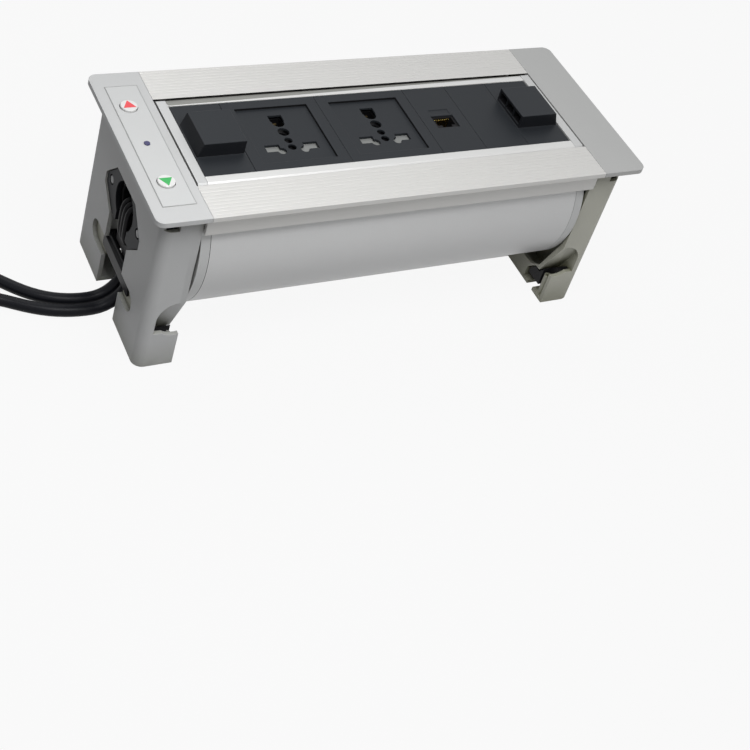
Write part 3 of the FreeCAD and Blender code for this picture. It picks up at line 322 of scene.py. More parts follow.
RAIL = CAP.like(
    "rail", (0.56, 0.555, 0.54), metallic=0.3, tone=0.012, grain=1500.0, depth=4e-6, edge=0.4,
    lines=Line.ALONG_X,
)
TIE = RAIL.like("tie_bar", (0.60, 0.60, 0.59), metallic=0.5, roughness=0.4, tone=0.02, depth=6e-6)
BEZEL = RAIL.like(
    "bezel", (0.62, 0.62, 0.612), metallic=0.4, roughness=0.3, grain=1200.0, depth=3e-6, edge=0.3
)
STRIP = BEZEL.like("shaded_strip", (0.21, 0.21, 0.195), metallic=0.2, roughness=0.5, tone=0.02, edge=0.2)

BLACK = Finish("black_plastic", (0.009, 0.009, 0.010), specular=0.12, tone=0.15, depth=1e-5, edge=0.3)
PLATE = BLACK.like("plate_plastic", (0.008, 0.009, 0.011), specular=0.1, tone=0.12)
# The data blocks' sides, painted darker than their tops: painted shade.
MODULE_SHADED_SIDE = BLACK.like("module_shaded_side", (0.009, 0.010, 0.012), specular=0.08, tone=0.1, edge=0.25)
# Deep black for ports, jacks, switches, wires and the strap, also laid as painted shade on the drum shells'
# cut ends and the outlets' sunk-square walls.
PORT_AND_SHADE = BLACK.like("port_black", (0.006, 0.006, 0.007), roughness=0.4, specular=0.1, tone=0.1, edge=0.1)
CORD = BLACK.like("cord_rubber", (0.005, 0.0055, 0.008), roughness=0.38, tone=0.1, grain=700.0, edge=0.05)
MODULE = Finish(
    "module_plastic", (0.0185, 0.021, 0.0245), roughness=0.45, specular=0.14, tone=0.05, grain=1400.0,
    depth=5e-6, edge=0.1,
)
SHUTTER = MODULE.like("shutter", (0.21, 0.215, 0.21), specular=0.2, depth=4e-6, edge=0.25)
PLUG = Finish("plug_plastic", (0.012, 0.012, 0.013), roughness=0.38, tone=0.1, depth=3e-5)
TIE_FILM = Finish("tie_black", (0.02, 0.02, 0.021), roughness=0.7, tone=0.2, grain=500.0, depth=8e-5)
MOTOR = Finish("motor_case", (0.03, 0.03, 0.031), metallic=0.1, roughness=0.4, tone=0.12)
GEAR = Finish("gear_plastic", (0.60, 0.57, 0.50), roughness=0.45, tone=0.05)
BOARD = Finish("board_green", (0.02, 0.13, 0.05), roughness=0.4, tone=0.1, grain=1200.0)

STEEL = Finish("steel", (0.58, 0.58, 0.58), metallic=1.0, roughness=0.3, grain=1200.0, depth=1e-5)
SCREW = STEEL.like("dull_steel", (0.17, 0.172, 0.175), metallic=0.4, roughness=0.4, specular=0.2)
BRASS = STEEL.like("brass", (0.60, 0.40, 0.14), roughness=0.32)
# The outlets' contacts: brass, duller and painted dark for the shade deep in the openings.
SHADED_BRASS = BRASS.like(
    "shaded_brass", (0.16, 0.115, 0.05), metallic=0.7, roughness=0.45, tone=0.08, depth=6e-6
)
GILT = STEEL.like("gilt", (0.85, 0.60, 0.16), roughness=0.22, tone=0.04)

LABEL = Finish(
    "label_film", (0.52, 0.527, 0.525), roughness=0.45, specular=0.3, tone=0.02, grain=1800.0, depth=4e-6,
    edge=0.1,
)
SEAM = LABEL.like("seam_grey", (0.36, 0.365, 0.365), roughness=0.6, specular=0.1, tone=0.03, edge=0.0)
WHITE = Finish("button_white", (0.66, 0.66, 0.65), roughness=0.35, coat=0.2, tone=0.02, depth=4e-6, edge=0.1)
RED = Finish(
    "sign_red", (0.72, 0.055, 0.065), roughness=0.35, tone=0.05, depth=1e-5, edge=0.1, edge_radius=0.0001
)
GREEN = RED.like("sign_green", (0.025, 0.36, 0.08))
LAMP = RED.like(
    "lamp_blue", (0.015, 0.015, 0.10), roughness=0.12, coat=0.6, depth=5e-6, edge_radius=0.0002, dust=0.0
)


def put(name: str, data: bpy.types.ID) -> Piece:
    """Put a new object with this data in the scene, at the origin."""
    piece = bpy.data.objects.new(name, data)
    bpy.context.scene.collection.objects.link(piece)
    return piece


def object_from(
    shape: Shape, name: str, finish: Finish, body: str = "frame"
) -> Piece:
    """Turn a finished bmesh into a piece that rides on a body, smooth except across its sharp edges.

    Args:
        shape: the bmesh, which is freed.
        name: the piece's name.
        finish: its finish.
        body: the body that it rides on.

    Returns:
        The new object, at the origin.
    """
    mesh = bpy.data.meshes.new(name)
    shape.to_mesh(mesh)
    shape.free()
    for polygon in mesh.polygons:
        polygon.use_smooth = True
    mesh.set_sharp_from_angle(angle=SHARP_ABOVE)
    mesh.materials.append(finish.material())
    piece = put(name, mesh)
    level = piece.modifiers.new("flats_level", "WEIGHTED_NORMAL")
    level.mode = "FACE_AREA"
    level.weight = FLATS_WEIGHT
    level.keep_sharp = True
    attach(piece, body)
    LOG.info("made %s on %s with %d faces", name, body, len(mesh.polygons))
    return piece


def bevel_sharp(shape: Shape, width: float, segments: int = 2) -> None:
    """Bevel the sharp outer edges of a bmesh.

    Args:
        shape: the bmesh.
        width: the bevel's width in metres.
        segments: how many steps round it.
    """
    outer = [edge for edge in shape.edges if len(edge.link_faces) == 2 and edge.is_convex]
    sharp = [edge for edge in outer if edge.calc_face_angle(0.0) > BEVEL_ABOVE]
    bmesh.ops.bevel(
        shape, geom=sharp, offset=width, segments=segments, profile=0.5, affect="EDGES", clamp_overlap=True,
        material=-1,
    )


def flatten(shape: Shape) -> None:
    """Join faces that lie in one plane."""
    bmesh.ops.dissolve_limit(
        shape, angle_limit=FLAT_WITHIN, verts=shape.verts, edges=shape.edges, delimit={"NORMAL"}
    )


def draw_out(shape: Shape, faces: list[bmesh.types.BMFace], shift: Point) -> None:
    """Draw flat faces out into a solid.

    Args:
        shape: the bmesh that they are in.
        faces: the faces.
        shift: how far they go and which way.
    """
    raised = bmesh.ops.extrude_face_region(shape, geom=faces)
    moved = [item for item in raised["geom"] if isinstance(item, bmesh.types.BMVert)]
    bmesh.ops.translate(shape, verts=moved, vec=shift)
    bmesh.ops.recalc_face_normals(shape, faces=shape.faces)


def prism(outline: Iterable[Point], shift: Point) -> Shape:
    """Make a solid from a flat outline.

    Args:
        outline: its corners in order.
        shift: how far it is drawn out and which way.

    Returns:
        The solid.
    """
    shape = bmesh.new()
    face = shape.faces.new([shape.verts.new(corner) for corner in outline])
    draw_out(shape, [face], shift)
    return shape


def closed_line(shape: Shape, corners: Iterable[Point]) -> list[bmesh.types.BMEdge]:
    """Run edges through points and back to the first."""
    ring = [shape.verts.new(corner) for corner in corners]
    return [shape.edges.new((ring[index - 1], ring[index])) for index in range(len(ring))]


def join_rings(shape: Shape, one: list[bmesh.types.BMVert], other: list[bmesh.types.BMVert]) -> None:
    """Join two rings of as many vertices with a band of faces."""
    for index in range(len(one)):
        shape.faces.new((one[index - 1], one[index], other[index], other[index - 1]))


def tube(shape: Shape, hoops: Iterable[tuple[Matrix, float]], sides: int) -> None:
    """Add a closed tube to a bmesh.

    Args:
        shape: the bmesh.
        hoops: the place and radius of each ring, whose axis is its own Z.
        sides: how many sides the tube has.
    """
    rings = []
    for placed, radius in hoops:
        made = bmesh.ops.create_circle(shape, segments=sides, radius=radius, matrix=placed)
        rings.append(made["verts"])
    for one, other in zip(rings, rings[1:]):
        join_rings(shape, one, other)
    bmesh.ops.holes_fill(shape, edges=shape.edges, sides=sides)
    bmesh.ops.recalc_face_normals(shape, faces=shape.faces)


def merged(node: str) -> Shape:
    """Copy a CAD node's mesh, with the vertices of its loose triangles merged."""
    shape = bmesh.new()
    shape.from_mesh(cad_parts[node].data)
    bmesh.ops.remove_doubles(shape, verts=shape.verts, dist=MERGE_WITHIN)
    return shape


def carve(shape: Shape, tool: Shape) -> Shape:
    """Cut one closed bmesh out of another.

    Args:
        shape: what is cut, which is freed.
        tool: what cuts, which is freed.

    Returns:
        What is left.
    """
    pair = []
    for name, item in (("cut_body", shape), ("cut_tool", tool)):
        mesh = bpy.data.meshes.new(name)
        item.to_mesh(mesh)
        item.free()
        pair.append(put(name, mesh))
    body, cutter = pair
    cut = body.modifiers.new("cut", "BOOLEAN")
    cut.operation = "DIFFERENCE"
    cut.solver = "EXACT"
    cut.object = cutter
    left = bmesh.new()
    left.from_object(body, bpy.context.evaluated_depsgraph_get())
    for item in pair:
        mesh = item.data
        bpy.data.objects.remove(item)
        bpy.data.meshes.remove(mesh)
    return left


@dataclass(frozen=True)
class Zone:
    """The part of a piece in a second finish: the faces whose middle and normal lie within bounds.

    outward is the middle's distance along X from the panel's centre, and radius its distance from the drum's
    axis. end_lean is how far the normal leans to either end, and rise how far up.
    """

    finish: Finish
    outward: Pair = ANY
    back: Pair = ANY
    height: Pair = ANY
    radius: Pair = ANY
    end_lean: Pair = ANY
    rise: Pair = ANY

    def holds(self, centre: Vector, normal: Vector) -> bool:
        """Tell whether a face with this middle and normal is in the zone."""
        measures = (
            (abs(centre.x), self.outward),
            (centre.y, self.back),
            (centre.z, self.height),
            (math.hypot(centre.y, centre.z - AXIS_Z), self.radius),
            (abs(normal.x), self.end_lean),
            (normal.z, self.rise),
        )
        return all(low < value < high for value, (low, high) in measures)


# The hollow journal of a drum end, painted black as the shade deep in the bearing.
JOURNAL_SHADED = Zone(BLACK, outward=(119.95 * MM, FAR), radius=(-FAR, 15.2 * MM))
# The cut ends of a drum shell, in the shade of the joint.
SKIN_ENDS = Zone(PORT_AND_SHADE, end_lean=(0.3, FAR))
# The flange of the right housing, neutral grey like the rails rather than warm, and painted darker than the
# left housing's flange as painted shade.
TOP_FLANGE = Zone(FLANGE_SHADED, height=(108.8 * MM, FAR))
# The outer strip of the back bezel bar, in the shade of the gap.
BAR_STRIP = Zone(STRIP, back=(31.8 * MM, FAR), rise=(0.5, FAR))
# The sides of a data block above the faces round it, duller than its top and painted darker: painted shade.
BLOCK_SIDES_SHADED = Zone(MODULE_SHADED_SIDE, height=(FACE_TOP + 0.1 * MM, FAR), rise=(-FAR, 0.35))
# The walls of the sunk square of an outlet, painted black as the shade in the sunk square.
SQUARE_WALLS_SHADED = Zone(PORT_AND_SHADE, height=(FACE_TOP - 1.5 * MM, FACE_TOP - 0.2 * MM), rise=(-0.5, 0.5))


@dataclass
class Softened:
    """A CAD node taken over with its outer edges rounded, as moulding, casting and finishing leave them."""

    node: str
    finish: Finish
    body: str = "frame"
    slot: str = "black_plastic"
    width: float = 0.25 * MM
    segments: int = 2
    zone: Zone | None = None

    def shape(self) -> Shape:
        """Give the form to be rounded: the node's own."""
        return merged(self.node)

    def build(self) -> Piece:
        """Copy the node's mesh, round its outer edges, stand it in for the node and finish its zone.

        Returns:
            The piece.
        """
        shape = self.shape()
        flatten(shape)
        bevel_sharp(shape, self.width, self.segments)
        piece = object_from(shape, self.node + "_finished", self.finish, self.body)
        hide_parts(self.node)
        if self.zone:
            piece.data.materials.append(self.zone.finish.material())
            for polygon in piece.data.polygons:
                polygon.material_index = int(self.zone.holds(polygon.center, polygon.normal))
        return piece


@dataclass
class GroovedRail(Softened):
    """A top rail whose drawn grooves are worn shallow."""

    groove_depth: float = 0.35 * MM
    seen_depth: float = 0.14 * MM
    within: float = 0.02 * MM

    def shape(self) -> Shape:
        """Lift the bottoms of the grooves."""
        shape = merged(self.node)
        low = TOP_Z - self.groove_depth
        for vertex in shape.verts:
            if abs(vertex.co.z - low) < self.within:
                vertex.co.z = TOP_Z - self.seen_depth
        return shape


@dataclass
class SlottedHousing(Softened):
    """The left end housing, its long slot opened to its full height."""

    slot_half: float = 34 * MM
    slot_low: float = 20.5 * MM
    slot_high: float = 34.5 * MM
    wall_reach: Pair = (-143.5 * MM, -139.5 * MM)
    end_steps: int = 12

    def shape(self) -> Shape:
        """Cut a long slot with round ends through the outer wall."""
        radius = (self.slot_high - self.slot_low) / 2
        middle = (self.slot_high + self.slot_low) / 2
        outer, inner = self.wall_reach
        outline = []
        for side in (1, -1):
            for step in range(self.end_steps + 1):
                turn = math.radians(side * 90 - 180 / self.end_steps * step)
                y = side * (self.slot_half - radius) + radius * math.cos(turn)
                outline.append((outer, y, middle + radius * math.sin(turn)))
        return carve(merged(self.node), prism(outline, (inner - outer, 0, 0)))


@dataclass
class FallenBar(Softened):
    """The back bezel bar, whose outer strip falls away to the gap."""

    edge_from: float = 33.5 * MM
    top_within: float = 0.05 * MM
    fall: float = 0.35 * MM

    def shape(self) -> Shape:
        """Split the strip off the bar's flat and lower its outer edge."""
        shape = merged(self.node)
        everything = [*shape.verts, *shape.edges, *shape.faces]
        split = (0, BAR_STRIP.back[0], 0)
        bmesh.ops.bisect_plane(shape, geom=everything, plane_co=split, plane_no=(0, 1, 0))
        for vertex in shape.verts:
            if vertex.co.y > self.edge_from and vertex.co.z > TOP_Z - self.top_within:
                vertex.co.z -= self.fall
        return shape


def dress(finish: Finish, *nodes: str) -> None:
    """Give CAD nodes that keep their own mesh a finish."""
    for node in nodes:
        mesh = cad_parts[node].data
        mesh.materials.clear()
        mesh.materials.append(finish.material())
        LOG.info("dressed %s as %s", node, finish.name)


@dataclass
class Panel:
    """The two end housings, the rails between them, the tie bar and their fasteners."""

    shell_edge: float = 0.35 * MM
    rail_edge: float = 0.05 * MM
    bar_edge: float = 0.15 * MM

    def build(self) -> None:
        """Round and dress every piece of the fixed frame."""
        edge = self.shell_edge
        SlottedHousing("end_housing_left", END, "frame", "end_grey", edge).build()
        Softened("end_housing_right", END_WARM_LIT, "frame", "end_grey", edge, zone=TOP_FLANGE).build()
        for node in ("rail_front", "rail_back"):
            GroovedRail(node, RAIL, "frame", "rail_metal", self.rail_edge, 1).build()
        Softened("bottom_tie_bar", TIE, "frame", "bar_metal", self.bar_edge).build()
        for hand in ("left", "right"):
            Softened(f"bearing_plate_{hand}", PLATE).build()
            for node in ("drum_bush", "claw_nut_front", "claw_nut_back"):
                Softened(f"{node}_{hand}", BLACK).build()
        dress(SCREW, "bearing_screws", "bush_screws")
        dress(STEEL, "rail_screws", "tie_bar_screws")


@dataclass
class Controls:
    """The label, the lamp, the two round buttons with their signs, and the board below them."""

    button_edge: float = 0.6 * MM
    sign_radius: float = 4.1 * MM
    sign_squash: float = 0.98
    sign_thick: float = 0.12 * MM
    sign_edge: float = 0.05 * MM
    seam_wide: float = 0.3 * MM
    seam_gap: float = 0.01 * MM
    seam_high: float = 0.2 * MM

    def build(self) -> None:
        """Dress the controls and lay a sign on each button."""
        dress(LABEL, "control_label")
        self.seam()
        dress(LAMP, "lamp_lens")
        dress(BOARD, "control_board")
        dress(PORT_AND_SHADE, "key_switches")
        for name, side, finish in (("up", 1, RED), ("down", -1, GREEN)):
            body = f"{name}_button"
            Softened(body, WHITE, body, "button_white", self.button_edge, 4).build()
            self.sign(f"{name}_sign", side, finish, body)

    def seam(self) -> None:
        """Run a thin sunk line round the label."""
        low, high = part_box("control_label")
        shape = bmesh.new()
        loops = []
        for spread in (self.seam_wide, self.seam_gap):
            left, front = low[0] - spread, low[1] - spread
            right, back = high[0] + spread, high[1] + spread
            corners = ((left, front), (right, front), (right, back), (left, back))
            loops += closed_line(shape, ((x, y, TOP_Z) for x, y in corners))
        band = bmesh.ops.bridge_loops(shape, edges=loops)["faces"]
        draw_out(shape, band, (0, 0, self.seam_high))
        object_from(shape, "label_seam", SEAM, "frame")

    def sign(self, name: str, side: int, finish: Finish, body: str) -> None:
        """Lay a flat triangle on a button.

        Args:
            name: the sign's name.
            side: 1 where it points to the back and -1 where it points to the user.
            finish: its finish.
            body: the button's body.
        """
        outline = []
        for turn in (math.radians(90 + 120 * step) for step in range(3)):
            x = BUTTON_X + self.sign_radius * math.cos(turn)
            y = side * (BUTTON_Y + self.sign_radius * math.sin(turn) * self.sign_squash)
            outline.append((x, y, BUTTON_TOP))
        shape = prism(outline, (0, 0, self.sign_thick))
        bevel_sharp(shape, self.sign_edge, 1)
        object_from(shape, name, finish, body)


@dataclass
class Drum:
    """The turning drum: skins, lid, bars, ends, gear and everything that its flat carries."""

    skin_edge: float = 0.2 * MM
    bar_edge: float = 0.3 * MM
    face_edge: float = 0.15 * MM

    def build(self) -> None:
        """Round and dress every piece that turns."""
        for hand in ("front", "back"):
            Softened(f"drum_shell_{hand}", DRUM, "drum", "drum_grey", self.skin_edge, zone=SKIN_ENDS).build()
        Softened("bezel_bar_front", BEZEL, "drum", "bezel_metal", self.bar_edge).build()
        FallenBar("bezel_bar_back", BEZEL, "drum", "bezel_metal", self.bar_edge, zone=BAR_STRIP).build()
        Softened("drum_lid", LID, "drum", "drum_grey").build()
        dark = "charcoal_plastic"
        for hand in ("left", "right"):
            Softened(f"drum_cap_{hand}", CAP, "drum", "drum_grey", self.bar_edge, zone=JOURNAL_SHADED).build()
            Softened(f"data_block_{hand}", MODULE, "drum", dark, zone=BLOCK_SIDES_SHADED).build()
        for index in (1, 2):
            Softened(f"outlet_face_{index}", MODULE, "drum", dark, self.face_edge, zone=SQUARE_WALLS_SHADED).build()
            dress(SHUTTER, f"outlet_shutter_{index}")
            dress(PORT_AND_SHADE, f"outlet_base_{index}")
            dress(SHADED_BRASS, f"outlet_contacts_{index}")
        for node in ("network_face", "blank_face"):
            Softened(node, MODULE, "drum", dark, self.face_edge).build()
        dress(PORT_AND_SHADE, "network_jack", "data_ports_left", "data_ports_right")
        dress(GILT, "jack_contacts")
        dress(STEEL, "cap_screws")
        dress(GEAR, "drum_gear")


@dataclass
class Pad:
    """The bearing plate's raised pad, which fills the window almost flush, and its two screw heads."""

    reach: Pair = (-138.75 * MM, -141.5 * MM)
    half_mm: tuple[Pair, ...] = ((14.8, 83.9), (27.8, 70.3), (27.8, 64.2), (14.9, 52.4))
    edge: float = 0.3 * MM
    bore: float = 13.6 * MM
    bore_steps: int = 36
    channel_half: float = 8.5 * MM
    screw_y: float = 21.8 * MM
    hole_radius: float = 3.0 * MM
    hole_segments: int = 40
    head_radius: float = 2.3 * MM
    head_long: float = 1.6 * MM
    head_sunk: float = 0.9 * MM
    head_segments: int = 24
    head_edge: float = 0.4 * MM

    def outline(self) -> list[Pair]:
        """Trace the pad's rim: down one side, round the shaft from the open channel, and up the other side.

        Returns:
            The rim's points, each as y and z.
        """
        half = [(y * MM, z * MM) for y, z in self.half_mm]
        sill = half[-1][1]
        start = -math.acos(self.channel_half / self.bore)
        found = [*half, (self.channel_half, sill)]
        for step in range(self.bore_steps + 1):
            turn = start + (math.pi - 2 * start) * step / self.bore_steps
            found.append((self.bore * math.cos(turn), AXIS_Z + self.bore * math.sin(turn)))
        found.append((-self.channel_half, sill))
        return found + [(-y, z) for y, z in reversed(half)]

    def screw_spots(self, x: float) -> list[Matrix]:
        """Say where the two screws sit, with their axes along X, at one distance out."""
        turned = Matrix.Rotation(math.radians(90), 4, "Y")
        return [Matrix.Translation((x, side * self.screw_y, AXIS_Z)) @ turned for side in (-1, 1)]

    def build(self) -> None:
        """Make the pad with its screw holes and the heads in them."""
        near, far = self.reach
        shape = bmesh.new()
        edges = closed_line(shape, ((near, y, z) for y, z in self.outline()))
        for spot in self.screw_spots(near):
            hole = bmesh.ops.create_circle(
                shape, segments=self.hole_segments, radius=self.hole_radius, matrix=spot
            )
            edges += dict.fromkeys(edge for vertex in hole["verts"] for edge in vertex.link_edges)
        filled = bmesh.ops.triangle_fill(shape, edges=edges, use_beauty=True)
        faces = [item for item in filled["geom"] if isinstance(item, bmesh.types.BMFace)]
        draw_out(shape, faces, (far - near, 0, 0))
        flatten(shape)
        bevel_sharp(shape, self.edge)
        object_from(shape, "bearing_pad", PLATE)
        heads = bmesh.new()
        for spot in self.screw_spots(far + self.head_sunk):
            bmesh.ops.create_cone(
                heads, cap_ends=True, segments=self.head_segments, radius1=self.head_radius,
                radius2=self.head_radius, depth=self.head_long, matrix=spot,
            )
        bmesh.ops.recalc_face_normals(heads, faces=heads.faces)
        bevel_sharp(heads, self.head_edge, 3)
        object_from(heads, "pad_screws", SCREW)


@dataclass
class Loom:
    """The drum's wires, which leave its hollow shaft and run down behind the wall to the gland."""

    rows: tuple[float, ...] = (-5.2 * MM, -1.6 * MM, 2.0 * MM)
    radius: float = 1.6 * MM
    route_mm: tuple[Pair, ...] = (
        (-122, 73), (-136.5, 73), (-140.6, 70.5), (-140.9, 62), (-140.6, 52), (-139, 47), (-133, 45.5),
    )
    steps: int = 6
    sides: int = 16

    def line(self, y: float) -> list[Vector]:
        """Round the route's corners in the plane of one row.

        Args:
            y: the row's place.

        Returns:
            Points along the middle of the wire.
        """
        found = []
        for index in range(len(self.route_mm) - 2):
            before, knot, after = (Vector((x * MM, y, z * MM)) for x, z in self.route_mm[index : index + 3])
            first, last = (before + knot) / 2, (knot + after) / 2
            for share in (step / self.steps for step in range(self.steps)):
                found.append(first.lerp(knot, share).lerp(knot.lerp(last, share), share))
        return found

    def build(self) -> None:
        """Run a tube along each row's line."""
        across = Vector((0, 1, 0))
        shape = bmesh.new()
        for line in (self.line(y) for y in self.rows):
            hoops = []
            for here, after in zip(line, line[1:]):
                way = (after - here).normalized()
                basis = Matrix((across, way.cross(across), way)).transposed().to_4x4()
                hoops.append((Matrix.Translation(here) @ basis, self.radius))
            tube(shape, hoops, self.sides)
        object_from(shape, "shaft_loom", PORT_AND_SHADE)


@dataclass
class Drive:
    """The geared motor, its pinion, the gland, the strap, and what shows through the left wall's openings."""

    edge: float = 0.3 * MM
    strap_reach: Pair = (-24 * MM, 19 * MM)
    strap_profile_mm: tuple[Pair, ...] = (
        (-138, 25.6), (-141.4, 25.6), (-141.4, 33.6), (-139.8, 34.3), (-139.8, 36.6), (-138.2, 36.6),
    )
    web_low: Point = (-139.95 * MM, -35.0 * MM, 19.5 * MM)
    web_high: Point = (-138.6 * MM, -15.5 * MM, 35.5 * MM)

    def build(self) -> None:
        """Dress the drive and what holds the cords."""
        dress(BRASS, "motor_pinion")
        Softened("gear_motor", MOTOR, "frame", "motor_case").build()
        Softened("cord_gland", BLACK).build()
        self.strap()
        self.web()
        Pad().build()
        Loom().build()

    def strap(self) -> None:
        """Lay a bar across the throat, with a lip behind the wall along the slot's upper edge."""
        front, back = self.strap_reach
        profile = ((x * MM, front, z * MM) for x, z in self.strap_profile_mm)
        shape = prism(profile, (0, back - front, 0))
        bevel_sharp(shape, self.edge)
        piece = object_from(shape, "cord_strap_finished", PORT_AND_SHADE)
        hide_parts("cord_strap")

    def web(self) -> None:
        """Close both ends of the slot from behind."""
        low, high = Vector(self.web_low), Vector(self.web_high)
        shape = bmesh.new()
        for side in (1, -1):
            middle = (low + high) / 2
            middle.y *= side
            placed = Matrix.Translation(middle) @ Matrix.Diagonal((*(high - low), 1.0))
            bmesh.ops.create_cube(shape, size=1.0, matrix=placed)
        bevel_sharp(shape, self.edge, 1)
        object_from(shape, "slot_web", END_WARM_LIT, "frame")


@dataclass
class Coil:
    """How a cord's unseen length is wound: half turns in over one layer and out over the next, and a tail.

    All lengths are millimetres.
    """

    climb: float
    over: float = 0.0
    over_radius: float = 30.0
    radius: float = 46.5
    pitch: float = 7.7
    half_turns: int = 6
    steps: int = 12
    straight: float = 7.0

    def points(self, entry: Vector, heading: Vector) -> list[Vector]:
        """Work out the coil's control points.

        Args:
            entry: where the free stretch ends.
            heading: which way it runs there.

        Returns:
            The points that follow the entry, to the end of the tail.
        """
        upright = Vector((0, 0, 1))
        inward = upright.cross(heading)
        along = heading.copy()
        here = entry + along * self.straight
        found = [here.copy()]
        radii = [self.radius - self.pitch / 2 * index for index in range(self.half_turns)]
        plan = [(radius, 0.0) for radius in radii]
        plan += [(radii[-1] - self.pitch / 2, self.climb)]
        plan += [(radius, 0.0) for radius in reversed(radii)]
        for radius, lift in plan:
            found += self.half_turn(here, along, inward, radius, lift, 1.0)
            here = here + inward * (2 * radius) + upright * lift
            along = -along
            inward = -inward
        here = here + along * (2 * self.straight)
        found.append(here.copy())
        if self.over:
            found += self.half_turn(here, along, inward, self.over_radius, self.over, 0.5)
            here = here + inward * (2 * self.over_radius) + upright * self.over
            found += [here.copy(), here - along * self.straight]
        return found

    def half_turn(
        self, here: Vector, along: Vector, inward: Vector, radius: float, lift: float, share: float
    ) -> list[Vector]:
        """Work out the control points of one half turn, set outwards so that the curve keeps its radius.

        Args:
            here: where it starts.
            along: which way it starts.
            inward: which way it turns.
            radius: its radius.
            lift: how far it climbs.
            share: the part of the half turn that it climbs in.

        Returns:
            The control points.
        """
        # Abreast of a control point the curve lies at 3/4 of it and 1/8 of each of its neighbours.
        reach = radius / (0.75 + 0.25 * math.cos(math.pi / self.steps))
        centre = here + inward * radius
        found = []
        for step in range(self.steps):
            turn = math.pi * (step + 0.5) / self.steps
            climbed = (1 - math.cos(min(turn / share, math.pi))) / 2
            spot = centre - inward * (reach * math.cos(turn)) + along * (reach * math.sin(turn))
            found.append(spot + Vector((0, 0, lift * climbed)))
        return found


@dataclass
class Tie:
    """A band with a buckle, closed round all the turns of a cord's coil."""

    cord_radius: float
    wide: float = 6 * MM
    thick: float = 1.2 * MM
    gap: float = 0.1 * MM
    inner_floor: float = 0.4 * MM
    outer_floor: float = 0.05 * MM
    steps: int = 48
    edge: float = 0.15 * MM
    buckle: Point = (6.5 * MM, 8.0 * MM, 3.2 * MM)
    buckle_lift: float = 1.0 * MM

    def close(self, name: str, angle: float, centre: Vector, line: list[Vector]) -> Piece:
        """Make the tie at one angle about the coil's middle.

        Args:
            name: the tie's name.
            angle: where it sits, in degrees.
            centre: the coil's middle, seen from above.
            line: points along the middle of the cord.

        Returns:
            The tie.
        """
        out = Vector((math.cos(math.radians(angle)), math.sin(math.radians(angle))))
        side = Vector((-out.y, out.x))
        cores = []
        for first, second in zip(line, line[1:]):
            before, after = side.dot(first.xy - centre), side.dot(second.xy - centre)
            if before * after < 0:
                spot = first.lerp(second, before / (before - after))
                if out.dot(spot.xy - centre) > 0:
                    cores.append(Vector((out.dot(spot.xy - centre), spot.z)))
        shape = bmesh.new()
        rings = []
        for gap, floor in ((self.gap, self.inner_floor), (self.gap + self.thick, self.outer_floor)):
            for shift in (-self.wide / 2, self.wide / 2):
                ring = []
                for turn in (math.tau * step / self.steps for step in range(self.steps)):
                    way = Vector((math.cos(turn), math.sin(turn)))
                    reach, height = max(cores, key=way.dot) + way * (self.cord_radius + gap)
                    flat = centre + out * reach + side * shift
                    ring.append(shape.verts.new((*flat, max(height, floor))))
                rings.append(ring)
        inner_front, inner_back, outer_front, outer_back = rings
        around = (outer_front, outer_back, inner_back, inner_front, outer_front)
        for one, other in zip(around, around[1:]):
            join_rings(shape, one, other)
        middle = centre + out * (sum(core.x for core in cores) / len(cores))
        top = max(core.y for core in cores) + self.cord_radius + self.thick
        turned = Matrix.Rotation(math.radians(angle), 4, "Z") @ Matrix.Diagonal((*self.buckle, 1.0))
        placed = Matrix.Translation((*middle, top + self.buckle_lift)) @ turned
        bmesh.ops.create_cube(shape, size=1.0, matrix=placed)
        bmesh.ops.recalc_face_normals(shape, faces=shape.faces)
        bevel_sharp(shape, self.edge, 1)
        return object_from(shape, name, TIE_FILM, "frame")


@dataclass
class Relief:
    """A tapered, ringed sleeve that keeps a cord from kinking just below the gland."""

    start: float = 8.5 * MM
    long: float = 22.0 * MM
    wide: float = 4.15 * MM
    narrow: float = 3.6 * MM
    ring_high: float = 0.18 * MM
    half_waves: int = 14
    sides: int = 24

    def thread(self, name: str, line: list[Vector]) -> Piece:
        """Thread the sleeve on a cord.

        Args:
            name: the sleeve's name.
            line: points along the middle of the cord.

        Returns:
            The sleeve.
        """
        hoops = []
        gone = 0.0
        for first, second in zip(line, line[1:]):
            gone += (second - first).length
            share = (gone - self.start) / self.long
            if share < 0:
                continue
            if share > 1:
                break
            wave = self.ring_high * math.cos(share * math.pi * self.half_waves)
            radius = self.wide + (self.narrow - self.wide) * share + wave
            along = (second - first).normalized()
            turned = Vector((0, 0, 1)).rotation_difference(along).to_matrix().to_4x4()
            hoops.append((Matrix.Translation(second) @ turned, radius))
        shape = bmesh.new()
        tube(shape, hoops, self.sides)
        return object_from(shape, name, BLACK)


